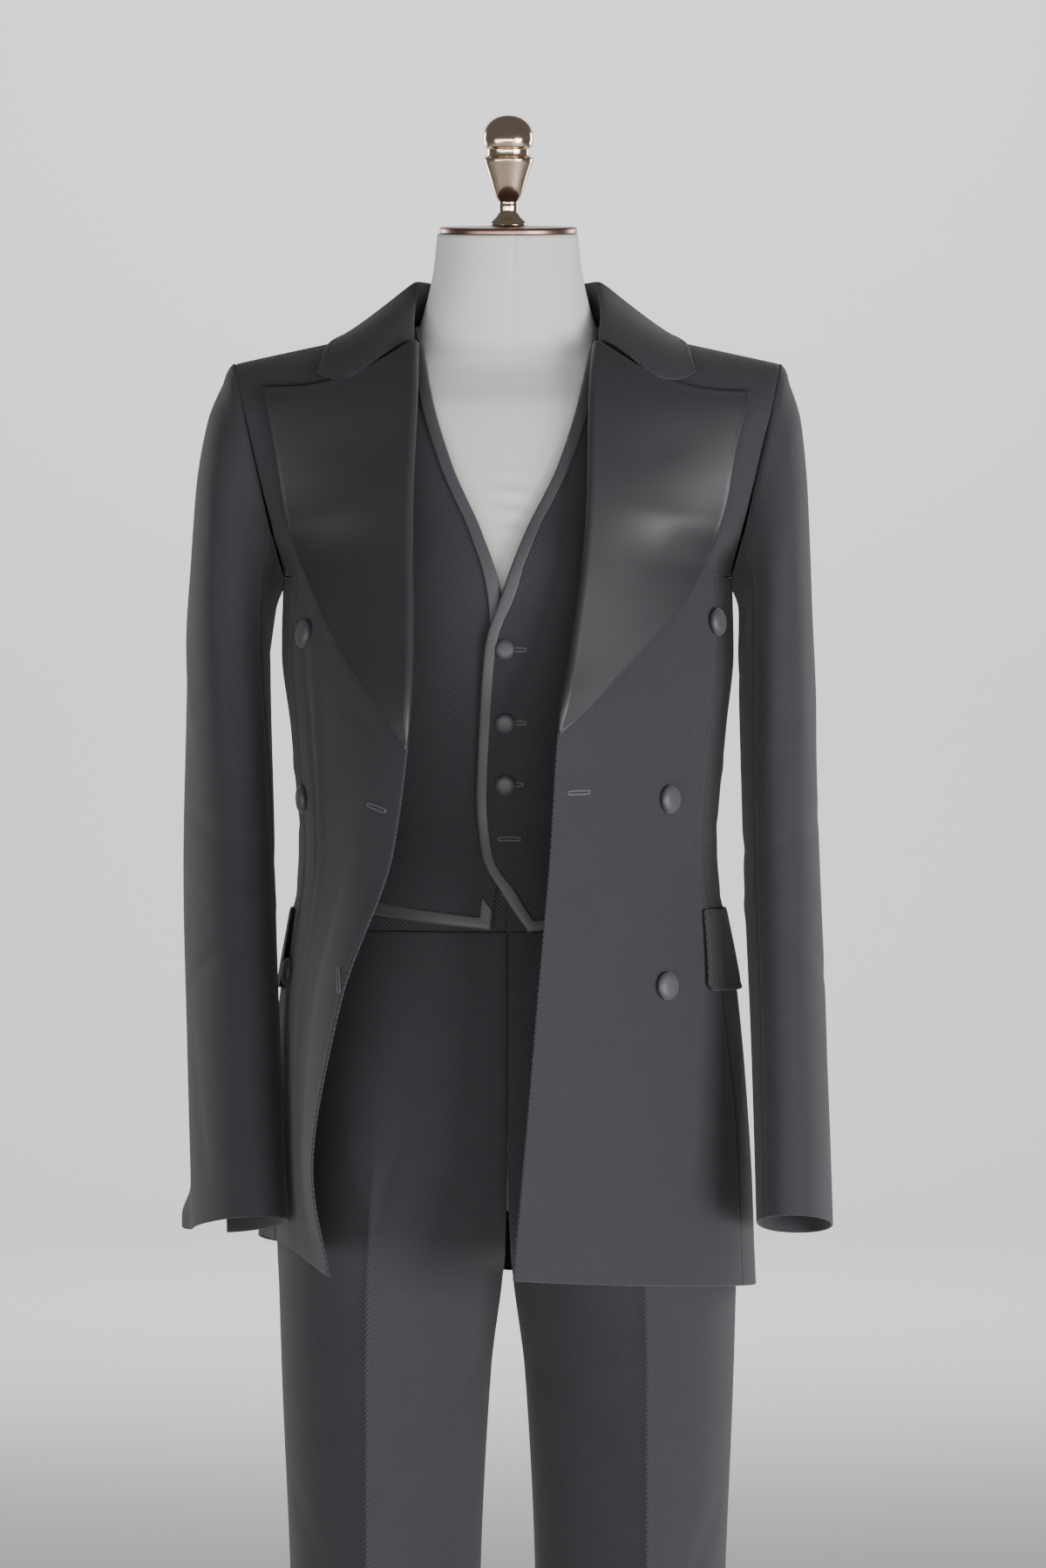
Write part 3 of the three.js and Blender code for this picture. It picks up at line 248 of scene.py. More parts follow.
def body_of(columns, hand):
    """Half of the body: around is 0 at the centre back, 1 at the side, 2 at the front edge."""
    def surface(around, row):
        c = columns(row)
        rear = section(vec(np.maximum(c["backX"], 0.15), c["backY"], c["backZ"]), 0 * row,
                       c["backReach"], vec(c["sideX"], c["rearY"], c["sideZ"]),
                       c["arriveH"], c["arriveReach"], np.minimum(around, 1))
        fore = section(vec(c["sideX"], c["frontY"], c["sideZ"]), c["leaveH"], c["leaveReach"],
                       vec(c["edgeX"], c["edgeY"], c["edgeZ"]), c["edgeH"], c["edgeReach"],
                       np.maximum(around - 1, 0))
        point = np.where((around <= 1)[..., None], rear, fore)
        point[..., 0] *= hand
        return point
    return surface


def front_cut(columns, row):
    fade = 1 - smooth(UNDERARM_ROW, UNDERARM_ROW + UNDERARM_TURN, row)
    return columns(np.minimum(row, UNDERARM_ROW))["cut"] * fade


def back_cut(row):
    return lerp(SIDE_BACK, 1, smooth(UNDERARM_ROW, UNDERARM_ROW + UNDERARM_TURN, row))


def seen_from_front(surface, u, v, x, z):
    """Where a surface shows at x and z seen from the front, by a few Newton steps."""
    u, v = np.array(u, float), np.array(v, float)
    for _ in range(14):
        p = surface(u, v)
        pu = (surface(u + 1e-3, v) - p) / 1e-3
        pv = (surface(u, v + 1e-3) - p) / 1e-3
        determinant = pu[..., 0] * pv[..., 2] - pv[..., 0] * pu[..., 2]
        ex, ez = x - p[..., 0], z - p[..., 2]
        u = u + np.clip((ex * pv[..., 2] - pv[..., 0] * ez) / determinant, -0.2, 0.2)
        v = v + np.clip((pu[..., 0] * ez - ex * pu[..., 2]) / determinant, -1.5, 1.5)
        u, v = np.clip(u, 1.02, FRONT_EDGE), np.clip(v, 0.02, 10.98)
    return u, v


LEFT_LAPEL = table(["f", "outX", "outZ", "rollRow"], [
    [0, 37.5, 1234, 3.97],
    [0.14, 60.5, 1256, 4.2],
    [0.3, 96, 1294, 4.95],
    [0.46, 130, 1337, 5.75],
    [0.64, 158, 1402, 7],
    [0.8, 165.5, 1441, 8],
    [0.92, 172.5, 1468, 9],
    [1, 177, 1484.5, 9.96],
])
RIGHT_LAPEL = table(["f", "outX", "outZ", "rollRow"], [
    [0, 70.5, 1222, 3.8],
    [0.14, 82, 1242, 4.1],
    [0.3, 110, 1281, 4.9],
    [0.46, 138, 1336, 5.7],
    [0.64, 158.5, 1391, 6.9],
    [0.8, 168, 1440, 8],
    [0.92, 174, 1468, 9],
    [1, 179, 1487.5, 9.96],
])
LAPEL_EASE = {"left": 1.7, "right": 2.15}
GORGE_DIP = 11


def lapel_surface(outline, body, hand, ease):
    """u runs from the roll to the outer edge; below 0 it rolls back to the front's edge."""
    def surface(u, v):
        o = outline(v)
        roll = body(np.full_like(v, FRONT_EDGE), o["rollRow"])
        flat = np.maximum(u, 0)
        x = lerp(roll[..., 0], hand * o["outX"], flat)
        z = lerp(roll[..., 2], o["outZ"], flat) - GORGE_DIP * v * np.sin(np.pi * flat)
        a, r = seen_from_front(body, lerp(1.98, 1.4, flat), o["rollRow"], x, z)
        point, normal = place(body, a, r)
        normal = normal * np.where(normal[..., 1:2] < 0, 1, -1)
        rise = lerp(0.12, 1, smooth(0, 0.22, v))
        lift = CLOTH / 2 + LAID_GAP + SATIN / 2 + (4.2 * (1 - flat) ** 2 + ease) * rise
        point = point + normal * lift[..., None]
        inward = unit(np.cross(normal, UP)) * hand
        phi = np.minimum(-np.minimum(u, 0), 1) * np.radians(140)
        radius = (lift - CLOTH / 2) / 2
        roll_in = radius * np.sin(phi)
        roll_down = -radius * (1 - np.cos(phi))
        return point + inward * roll_in[..., None] + normal * roll_down[..., None]
    return surface


def seat(surface, hand, around, row, lift):
    point, normal = place(surface, around, row)
    return point - normal * hand * np.asarray(lift)[..., None]


COLLAR = table(["f", "neckRow", "outAround", "outRow", "stand", "lift", "lean"], [
    [0, 10.0, 0, 9.3, 37, 3.2, 9],
    [0.3, 10.5, 0.18, 10.1, 36, 3.4, 9],
    [0.6, 11, 0.37, 11, 34, 3.4, 12],
    [0.8, 10.5, 0.46, 10.45, 17, 3.2, 6],
    [1, 10.08, 0.53, 9.70, 2.5, 3.4, 0],
])
COLLAR_FOLD = 0.36
COLLAR_GORGE_DIP = 0.44


def lean_toward_neck(point, distance):
    inward = unit(vec(-point[..., 0], CAP_Y + 8 - point[..., 1], 0 * point[..., 0]))
    return point + inward * distance[..., None]


def collar_half(body, hand, f, v):
    c = COLLAR(f)
    rear = f <= 0.6
    neck_around = np.where(rear, 0.01, 1.99)
    out_around = np.where(rear, c["outAround"], 2 - c["outAround"])
    row = np.minimum(c["neckRow"], 10.99)
    up = np.clip(v / COLLAR_FOLD, 0, 1)
    foot = seat(body, hand, neck_around, row, lerp(0.2, c["lift"] * 0.55, up))
    foot[..., 2] += lerp(1.9, c["stand"], up) + 1.2 * up * np.sin(np.pi * up)
    foot = lean_toward_neck(foot, c["lean"] * up)
    w = np.clip((v - COLLAR_FOLD) / (1 - COLLAR_FOLD), 0, 1)
    dip = COLLAR_GORGE_DIP * f**8 * np.sin(np.pi * w**1.7)
    over = seat(body, hand, lerp(neck_around, out_around, w),
                np.minimum(lerp(row, c["outRow"], w) - dip, 10.99),
                c["lift"] + 2.2 * np.sin(np.pi * w))
    over[..., 2] += c["stand"] * (1 - w) ** 1.5
    over = lean_toward_neck(over, c["lean"] * (1 - w) ** 1.5)
    return np.where((v < COLLAR_FOLD)[..., None], foot, over)


sleeve_columns = ["f", "x", "y", "z", "depth", "width", "turn", "rise", "pitch"]
LEFT_SLEEVE = table(sleeve_columns, [
    [0, 210, -72, 877, 60, 27, 7, 0, 0.2],
    [0.28, 207, -46, 1012, 63, 27, 5, 2, 0.17],
    [0.52, 203, -16, 1150, 67, 27.5, 3, 4, 0.1],
    [0.76, 199.5, -2, 1290, 70, 27, 0, 12, 0.04],
    [0.88, 198, 1, 1368, 69, 25, 0, 42, 0],
    [0.95, 194.5, 2, 1406, 65, 24, 0, 62, 0],
    [1, 187.5, 2, 1434, 58, 17, 0, 78, 0],
])
RIGHT_SLEEVE = table(sleeve_columns, [
    [0, 195, -76, 877, 60, 27, 26, 0, 0.2],
    [0.28, 202, -46, 1012, 63, 28, 22, 2, 0.17],
    [0.52, 207, -16, 1150, 67, 29, 18, 4, 0.1],
    [0.76, 208, -2, 1290, 70, 30, 7, 12, 0.04],
    [0.88, 203, 1, 1368, 69, 29, 2, 42, 0],
    [0.95, 197, 2, 1406, 65, 26, 0, 62, 0],
    [1, 187.5, 2, 1434, 58, 17, 0, 78, 0],
])
FRONT_SEAM = 0.36
BACK_SEAM = 0.68


def sleeve_of(rings, hand):
    """turn is 0 at the outer side, 0.25 in front, 0.5 at the inner side, 0.75 behind."""
    def ring_at(turn, f):
        s = rings(f)
        angle = turn * 2 * np.pi
        flat = np.radians(s["turn"])
        cosine = np.cos(angle)
        out = s["width"] * np.sign(cosine) * np.abs(cosine) ** 0.9
        forward = s["depth"] * np.sin(angle)
        x = out * np.cos(flat) - forward * np.sin(flat)
        y = -out * np.sin(flat) - forward * np.cos(flat)
        return vec(s["x"] + x, s["y"] + y, s["z"] + s["rise"] * cosine - y * s["pitch"])

    def surface(turn, f):
        low = (1 - np.cos(turn * 2 * np.pi)) / 2
        top = armhole(turn * 360) + vec(0.95 + 1.2 * low, 0 * low, 1.2 * low)
        set_in = top - ring_at(turn, np.ones_like(f))
        point = ring_at(turn, f) + set_in * smooth(0.88, 1, f)[..., None]
        point[..., 0] *= hand
        return point
    return surface


# ---- the waistcoat's and trousers' surfaces ------------------------------------------
waistcoat_ease = table(["z", "ease"], [
    [1085, 8.5], [1130, 7.2], [1165, 6], [1290, 6], [1400, 6], [1480, 5], [1545, 4.5]])


def turn_at(x, z, rear):
    share = np.clip(np.abs(x) / form_section(z)["halfWidth"], 0, 1)
    turn = np.arcsin(share ** (SQUARENESS / 2)) / (2 * np.pi)
    return np.sign(x) * (turn if rear else 0.5 - turn)


waistcoat_columns = ["row", "innerX", "innerZ", "outerX", "outerZ"]
LEFT_WAISTCOAT = table(waistcoat_columns, [
    [0, 14.8, 1090.6, 136.9, 1116],
    [1, -3.6, 1118.4, 129.5, 1136],
    [2, -17.6, 1146.6, 120.5, 1158],
    [3, -21.3, 1190, 120.8, 1195],
    [4, -19.5, 1240, 130.5, 1242],
    [5, -15.5, 1295, 144.5, 1292],
    [6, -4, 1333, 148, 1332],
    [7, 14, 1380, 143, 1378],
    [8, 37, 1429, 128, 1425],
    [9, 55, 1490, 121, 1475],
    [10, 62, 1535, 119, 1512.5],
])
RIGHT_WAISTCOAT = table(waistcoat_columns, [
    [0, 12, 1092, 136.9, 1116],
    [1, 10, 1112, 129.5, 1136],
    [2, 4, 1146.6, 120.5, 1158],
    [3, 0, 1190, 120.8, 1195],
    [4, 1, 1240, 130.5, 1242],
    [5, 2, 1295, 144.5, 1292],
    [6, 6, 1339, 148, 1332],
    [7, 19, 1380, 143, 1378],
    [8, 40, 1429, 128, 1425],
    [9, 57, 1490, 121, 1475],
    [10, 62, 1535, 119, 1512.5],
])
WAISTCOAT_BACK = table(waistcoat_columns, [
    [0, 0, 1116, 136.9, 1116],
    [1, 0, 1136, 129.5, 1136],
    [2, 0, 1158, 120.5, 1158],
    [3, 0, 1195, 120.8, 1195],
    [4, 0, 1242, 130.5, 1242],
    [5, 0, 1292, 144.5, 1292],
    [6, 0, 1332, 148, 1332],
    [7, 0, 1380, 143, 1378],
    [8, 0, 1430, 128, 1425],
    [9, 0, 1490, 121, 1475],
    [10, 0, 1528, 119, 1512.5],
])
WAISTCOAT_ROWS = 10
OVERLAP_LIFT = CLOTH + LAID_GAP + 0.7


def waistcoat_surface(outline, hand, rear, lift):
    def surface(u, v):
        o = outline(v * WAISTCOAT_ROWS)
        inner = turn_at(o["innerX"], o["innerZ"], rear)
        if not rear:
            inner = np.where(inner < 0, 1 + inner, inner)
        outer = turn_at(o["outerX"], o["outerZ"], rear)
        side = np.where(v * WAISTCOAT_ROWS <= 6, 0.25, outer)
        z = lerp(o["innerZ"], o["outerZ"], u)
        clear = 1.4 * bump(v, 0.58, 0.1) if lift else 0
        over = (lift + clear) * (1 - smooth(0.1, 0.6, u)) * (1 - smooth(0.65, 0.75, v))
        return on_form(hand * lerp(inner, side, u), z, waistcoat_ease(z)["ease"] + over)
    return surface


trouser_columns = ["z", "outX", "outY", "creaseX", "creaseY", "arriveH", "leaveH",
                   "innerX", "innerY", "innerH", "backCreaseX", "backCreaseY", "backArriveH",
                   "backLeaveH", "backInnerX", "backInnerY", "backInnerH", "out"]
LEG = table(trouser_columns, [
    [42, 149, 14, 100, -66, 140, 212, 32, 13, 268, 100, 94, 42, -32, 32, 15, -88, 92],
    [300, 153, 13, 101, -74, 140, 212, 27, 13, 268, 101, 102, 42, -32, 27, 15, -88, 92],
    [613, 162, 12, 102, -84, 142, 212, 21, 13, 268, 102, 106, 40, -32, 21, 15, -88, 92],
    [760, 168, 10, 102, -92, 148, 206, 13, 13, 266, 102, 104, 36, -28, 13, 15, -88, 92],
    [826, 170, 8, 101, -97, 156, 198, 4.5, 10.5, 262, 100, 105, 28, -20, 4.5, 13.5, -86, 92],
    [856, 171, 7, 100, -100, 162, 192, 1.4, -45, 215, 98, 105, 22, -14, 1.4, 68, -40, 96],
    [900, 171, 6, 98, -100, 168, 186, 0.8, -96, 184, 94, 105, 16, -6, 0.8, 107, -8, 99],
    [960, 170, 4, 92, -97, 168, 176, 0.3, -102, 180, 88, 103, 14, 8, 0.3, 114, 0, 99],
    [1040, 159, 2, 82, -90, 162, 166, 0.2, -100, 180, 78, 93, 20, 14, 0.2, 103, 0, 96],
    [1089, 144, 1, 72, -86, 160, 164, 0.2, -94, 180, 70, 82, 22, 14, 0.2, 89, 0, 92],
])
REACH = 0.36


def trouser_of(hand, rear):
    """u is 0 at the outseam, 0.5 at the crease and 1 at the centre seam and inseam."""
    kind, turned = ("back", 180) if rear else ("", 0)

    def name(word):
        return kind + word[0].upper() + word[1:] if rear else word

    def surface(u, z):
        t = LEG(z)
        out = vec(t["outX"], t["outY"], z)
        crease = vec(t[name("creaseX")], t[name("creaseY")], z)
        inner = vec(t[name("innerX")], t[name("innerY")], z)
        arrive, leave = t[name("arriveH")], t[name("leaveH")]
        unpressed = smooth(890, 935, z) * 0.5
        arrive, leave = (lerp(arrive, leave, unpressed), lerp(leave, arrive, unpressed))
        outer_span = np.linalg.norm(out - crease, axis=-1) * REACH
        inner_span = np.linalg.norm(crease - inner, axis=-1) * REACH
        outside = section(out, turned + t["out"], outer_span, crease,
                          turned + arrive, outer_span, np.clip(u * 2, 0, 1))
        inside = section(crease, turned + leave, inner_span, inner,
                         turned + t[name("innerH")], inner_span, np.clip(u * 2 - 1, 0, 1))
        point = np.where((u < 0.5)[..., None], outside, inside)
        point[..., 0] *= hand
        return point
    return surface


# ---- materials -----------------------------------------------------------------------
def node_tree(name):
    material = bpy.data.materials.new(name)
    material.use_nodes = True
    tree = material.node_tree
    shader = tree.nodes["Principled BSDF"]
    return material, tree, shader


def add_node(tree, kind, **values):
    node = tree.nodes.new(kind)
    for key, value in values.items():
        if key.startswith("in_"):
            node.inputs[int(key[3:])].default_value = value
        else:
            setattr(node, key, value)
    return node


def math_node(tree, operation, a, b=None):
    node = add_node(tree, "ShaderNodeMath", operation=operation)
    for socket, value in zip(node.inputs, (a, b)):
        if value is None:
            continue
        if isinstance(value, (int, float)):
            socket.default_value = value
        else:
            tree.links.new(value, socket)
    return node.outputs[0]


def stripes(tree, u, v, degrees, pitch):
    """A wave from 0 to 1 whose lines stand at this angle from the weft, this far apart."""
    angle = math.radians(degrees)
    across = math_node(tree, "SUBTRACT", math_node(tree, "MULTIPLY", u, math.sin(angle)),
                       math_node(tree, "MULTIPLY", v, math.cos(angle)))
    turns = math_node(tree, "MULTIPLY", across, 2 * math.pi / pitch)
    wave = math_node(tree, "SINE", turns)
    return math_node(tree, "MULTIPLY_ADD", wave, 0.5)


def cloth_material(name, dark, light, lines, bump_height, roughness, sheen, mottle,
                   specular=0.3):
    """Woven cloth: sets of lines (angle, pitch in m, share) in the cloth's own metres."""
    material, tree, shader = node_tree(name)
    links = tree.links
    uv = add_node(tree, "ShaderNodeUVMap", uv_map="cloth")
    split = add_node(tree, "ShaderNodeSeparateXYZ")
    links.new(uv.outputs[0], split.inputs[0])
    height = None
    for degrees, pitch, share in lines:
        wave = stripes(tree, split.outputs[0], split.outputs[1], degrees, pitch)
        part = math_node(tree, "MULTIPLY", wave, share)
        height = part if height is None else math_node(tree, "ADD", height, part)
    fuzz = add_node(tree, "ShaderNodeTexNoise", in_2=1100.0, in_3=3.0)
    links.new(uv.outputs[0], fuzz.inputs[0])
    cloud = add_node(tree, "ShaderNodeTexNoise", in_2=26.0, in_3=4.0)
    links.new(uv.outputs[0], cloud.inputs[0])
    shade = math_node(tree, "ADD", math_node(tree, "MULTIPLY", height, 0.7),
                      math_node(tree, "MULTIPLY", fuzz.outputs[0], 0.3))
    shade = math_node(tree, "ADD", shade, math_node(tree, "MULTIPLY", cloud.outputs[0], mottle))
    mix = add_node(tree, "ShaderNodeMix", data_type="RGBA")
    links.new(shade, mix.inputs["Factor"])
    mix.inputs[6].default_value = (*dark, 1)
    mix.inputs[7].default_value = (*light, 1)
    links.new(mix.outputs[2], shader.inputs["Base Color"])
    relief = add_node(tree, "ShaderNodeBump")
    relief.inputs["Distance"].default_value = bump_height
    relief.inputs["Strength"].default_value = 0.8
    both = math_node(tree, "ADD", height, math_node(tree, "MULTIPLY", fuzz.outputs[0], 0.5))
    links.new(both, relief.inputs["Height"])
    links.new(relief.outputs[0], shader.inputs["Normal"])
    shader.inputs["Roughness"].default_value = roughness
    shader.inputs["Specular IOR Level"].default_value = specular
    shader.inputs["Sheen Weight"].default_value = sheen
    shader.inputs["Sheen Roughness"].default_value = 0.4
    return material


def hard_material(name, colour, roughness, metallic, grain=0.0, grain_scale=400.0):
    material, tree, shader = node_tree(name)
    spot = add_node(tree, "ShaderNodeTexCoord")
    noise = add_node(tree, "ShaderNodeTexNoise", in_2=grain_scale, in_3=4.0)
    tree.links.new(spot.outputs["Object"], noise.inputs[0])
    mix = add_node(tree, "ShaderNodeMix", data_type="RGBA")
    tree.links.new(noise.outputs[0], mix.inputs["Factor"])
    mix.inputs[6].default_value = (*[c * 0.88 for c in colour], 1)
    mix.inputs[7].default_value = (*[min(c * 1.1, 1) for c in colour], 1)
    tree.links.new(mix.outputs[2], shader.inputs["Base Color"])
    shader.inputs["Roughness"].default_value = roughness
    shader.inputs["Metallic"].default_value = metallic
    if grain:
        relief = add_node(tree, "ShaderNodeBump")
        relief.inputs["Distance"].default_value = grain
        relief.inputs["Strength"].default_value = 0.5
        tree.links.new(noise.outputs[0], relief.inputs["Height"])
        tree.links.new(relief.outputs[0], shader.inputs["Normal"])
    return material


TWILL = [(62, 0.0017, 0.75), (0, 0.0009, 0.25)]
DARK_YARN = (0.004, 0.0041, 0.0048)
LIGHT_YARN = (0.062, 0.063, 0.070)
wool = cloth_material("wool_twill", DARK_YARN, LIGHT_YARN, TWILL, 0.0003, 0.88, 0.16, 0.1)
band_wool = cloth_material("waistband_twill", DARK_YARN, LIGHT_YARN,
                           [(-28, 0.0017, 0.75), (90, 0.0009, 0.25)], 0.0003, 0.88, 0.16, 0.1)
satin = cloth_material("satin", (0.020, 0.020, 0.023), (0.030, 0.030, 0.034),
                       [(0, 0.0007, 0.5), (90, 0.0006, 0.2)], 0.00003, 0.5, 0.10, 0.1,
                       specular=0.65)
button_satin = cloth_material("button_satin", (0.050, 0.050, 0.056), (0.085, 0.085, 0.094),
                              [(62, 0.0009, 0.6), (0, 0.0008, 0.2)], 0.00006, 0.5, 0.3, 0.1,
                              specular=0.5)
binding_satin = cloth_material("binding_satin", (0.045, 0.045, 0.050), (0.075, 0.075, 0.082),
                               [(62, 0.0009, 0.5), (0, 0.0008, 0.2)], 0.00006, 0.5, 0.2, 0.1,
                               specular=0.5)
thread = cloth_material("buttonhole_thread", (0.06, 0.06, 0.066), (0.13, 0.13, 0.14),
                        [(90, 0.0006, 0.8)], 0.0001, 0.6, 0.2, 0.1)
linen = cloth_material("form_linen", (0.60, 0.59, 0.56), (0.78, 0.77, 0.74),
                       [(0, 0.0011, 0.5), (90, 0.0011, 0.5)], 0.00014, 0.95, 0.15, 0.1)
copper = hard_material("cap_copper", (0.34, 0.20, 0.16), 0.32, 1.0, 0.00005)
brass = hard_material("finial_brass", (0.80, 0.62, 0.46), 0.14, 1.0)
steel = hard_material("stand_metal", (0.02, 0.02, 0.021), 0.55, 0.2, 0.00008, 900.0)


# ---- meshes --------------------------------------------------------------------------
def new_object(name, points, faces, material, uvs, node=None):
    """A smooth mesh of points and uvs in mm, on the root body, in place of a solid if named."""
    mesh = bpy.data.meshes.new(name)
    mesh.from_pydata((points * MM).tolist(), [], faces)
    layer = mesh.uv_layers.new(name="cloth")
    corners = np.zeros(len(mesh.loops), np.int32)
    mesh.loops.foreach_get("vertex_index", corners)
    layer.data.foreach_set("uv", (uvs[corners] * MM).astype(np.float32).ravel())
    mesh.shade_smooth()
    mesh.materials.append(material)
    obj = bpy.data.objects.new(name, mesh)
    bpy.context.scene.collection.objects.link(obj)
    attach(obj, "root")
    if node:
        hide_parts(node)
    return obj


def capped_rings(rings, low, high, inside_out=False):
    """The vertices and faces of a closed body: rings of points, and a point at each end."""
    count, around = rings.shape[:2]
    index = np.arange(count * around).reshape(count, around)
    nexts = np.roll(index, -1, 1)
    last = count * around
    faces = np.stack([index[:-1], nexts[:-1], nexts[1:], index[1:]], -1).reshape(-1, 4).tolist()
    faces += [[last, int(b), int(a)] for a, b in zip(index[0], nexts[0])]
    faces += [[last + 1, int(a), int(b)] for a, b in zip(index[-1], nexts[-1])]
    if inside_out:
        faces = [face[:1] + face[:0:-1] for face in faces]
    return np.concatenate([rings.reshape(-1, 3), [low, high]]), faces


def steps(count, width, gather=()):
    """Shares from 0 to 1: close together at both ends (in mm of width) and around a share."""
    count = max(int(count * COARSE), 8)
    shares = set(np.linspace(0, 1, count + 1).round(6))
    for distance in (1.2, 2.6, 5.0):
        shares |= {round(distance / width, 6), round(1 - distance / width, 6)}
    for middle in gather:
        shares |= {round(middle + side * distance / width, 6)
                   for distance in (0, 1.0, 2.5, 5.0) for side in (-1, 1)}
    values = np.array(sorted(shares))
    keep = np.concatenate([[True], np.diff(values) > 0.35 / width])
    values = values[keep]
    values[-1] = 1
    return values


def grid_normals(points, outward):
    along_u = np.gradient(points, axis=1)
    along_v = np.gradient(points, axis=0)
    return unit(np.cross(along_u, along_v)) * outward


def cloth_metres(points, normals):
    """The cloth's own flat measure, in mm: rightward seen from outside, and upward.

    It is laid up the middle column and from there along each row.
    """
    right = unit(np.cross(UP, normals) + 1e-6)
    up = np.cross(normals, right)
    middle = points.shape[1] // 2
    flat = np.zeros(points.shape[:2] + (2,))
    for part, way in enumerate((right, up)):
        rising = (np.diff(points[:, middle], axis=0)
                  * (way[1:, middle] + way[:-1, middle]) / 2).sum(-1)
        along = (np.diff(points, axis=1) * (way[:, 1:] + way[:, :-1]) / 2).sum(-1)
        from_left = np.hstack([np.zeros((len(points), 1)), np.cumsum(along, axis=1)])
        flat[1:, :, part] += np.cumsum(rising)[:, None]
        flat[..., part] += from_left - from_left[:, middle:middle + 1]
    return flat


def soften(points, times, axis):
    """Rounds a grid of points along one way, its ends kept."""
    points = np.moveaxis(points.copy(), axis, 0)
    for _ in range(times):
        points[1:-1] = points[1:-1] * 0.5 + (points[:-2] + points[2:]) * 0.25
    return np.moveaxis(points, 0, axis)


class Grid:
    """A piece's middle surface: its points, shares and flat measure, before it has walls."""
    def __init__(self, surface, us, vs, outward, rounding=(), along_edges=False):
        self.u, self.v = np.meshgrid(us, vs)
        self.points = surface(self.u, self.v)
        for times, axis in rounding:
            self.points = soften(self.points, times, axis)
        self.outward = outward
        self.normals = grid_normals(self.points, outward)
        self.flat = cloth_metres(self.points, self.normals)
        rows = np.linalg.norm(np.diff(self.points, axis=1), axis=-1)
        columns = np.linalg.norm(np.diff(self.points, axis=0), axis=-1)
        zero_u, zero_v = np.zeros((len(vs), 1)), np.zeros((1, len(us)))
        self.from_left = np.hstack([zero_u, np.cumsum(rows, axis=1)])
        self.from_low = np.vstack([zero_v, np.cumsum(columns, axis=0)])
        self.to_right = self.from_left[:, -1:] - self.from_left
        self.to_high = self.from_low[-1:] - self.from_low
        if along_edges:
            middle = self.u.shape[1] // 2
            across = self.from_left - self.from_left[:, middle:middle + 1]
            self.flat = np.stack([across * outward, self.from_low], -1)
        self.relief = np.zeros_like(self.u)

    def at(self, u, v):
        """The flat measure at these shares."""
        i = np.interp(u, self.u[0], np.arange(self.u.shape[1]))
        j = np.interp(v, self.v[:, 0], np.arange(self.u.shape[0]))
        return self.flat[int(round(float(j))), int(round(float(i)))]

    def fold(self, start, end, depth, width, bend=0.0):
        """A soft ridge (depth above 0) or trough laid from one given place to another."""
        a, b = self.at(*start), self.at(*end)
        along = b - a
        length = max(np.linalg.norm(along), 1e-6)
        way = along / length
        offset = self.flat - a
        s = (offset @ way) / length
        side = offset @ np.array([-way[1], way[0]]) - bend * np.sin(np.pi * np.clip(s, 0, 1))
        ends = smooth(-0.12, 0.3, s) * (1 - smooth(0.6, 1.12, s))
        uneven = 0.82 + 0.18 * np.sin(7.0 * s + 0.05 * a[0])
        wide = np.where(side > 0, width, width * 0.7)
        self.relief += depth * ends * uneven * np.exp(-(side / wide) ** 2)

    def seam(self, distance, depth=0.55, width=1.5):
        self.relief -= depth * np.exp(-(distance / width) ** 2)

    def seams(self, depth=0.5, width=2.0):
        """Seams up both sides, and one along the top of this depth and width."""
        self.seam(self.from_left)
        self.seam(self.to_right)
        self.seam(self.to_high, depth, width)

    def stitches(self, distance, along, inset=5.0, pitch=4.0, depth=0.3):
        """A row of stitches at this inset, pressed into the cloth."""
        dash = smooth(-0.4, 0.2, np.sin(2 * np.pi * along / pitch))
        self.relief -= depth * bump(distance, inset, 0.8) * dash

    def move(self, offset):
        """Shifts the cloth bodily, as where a vent hangs open."""
        self.points = self.points + offset
        self.normals = grid_normals(self.points, self.outward)

    def drape(self, size, height, seed):
        """The slow unevenness of hanging cloth."""
        x, y = self.flat[..., 0] / size, self.flat[..., 1] / (size * 2.2)
        wave = (np.sin(1.3 * x + 0.7 * y + seed) + np.sin(2.1 * y - 0.9 * x + 2 * seed)
                + 0.6 * np.sin(2.9 * x + 1.7 * y + 3 * seed))
        self.relief += height * wave / 2.6


def build(name, grid, thickness=CLOTH, material=wool):
    points = grid.points + grid.normals * grid.relief[..., None]
    normals = grid_normals(points, grid.outward)
    outer = points + normals * thickness / 2
    inner = points - normals * thickness / 2
    rows, columns = points.shape[:2]
    index = np.arange(rows * columns).reshape(rows, columns)
    ring = np.concatenate([index[0, :-1], index[:-1, -1], index[-1, :0:-1], index[:0:-1, 0]])
    j, i = np.divmod(ring, columns)
    inside = points[np.clip(j, 1, rows - 2), np.clip(i, 1, columns - 2)]
    edge = points[j, i] + unit(points[j, i] - inside) * thickness * 0.38
    vertices = np.concatenate([outer.reshape(-1, 3), inner.reshape(-1, 3), edge])
    a, b = index[:-1, :-1], index[:-1, 1:]
    c, d = index[1:, 1:], index[1:, :-1]
    front = np.stack([a, b, c, d], -1).reshape(-1, 4)
    back = front[:, ::-1] + rows * columns
    nexts = np.roll(np.arange(len(ring)), -1)
    middle = 2 * rows * columns + np.arange(len(ring))
    rim_out = np.stack([ring[nexts], ring, middle, middle[nexts]], -1)
    rim_in = np.stack([ring + rows * columns, ring[nexts] + rows * columns,
                       middle[nexts], middle], -1)
    faces = np.concatenate([front, back, rim_out, rim_in])
    if grid.outward < 0:
        faces = faces[:, ::-1]
    flat = grid.flat.reshape(-1, 2)
    uvs = np.concatenate([flat, flat, grid.flat[j, i]])
    obj = new_object(f"{name}_cloth", vertices, faces.tolist(), material, uvs, name)


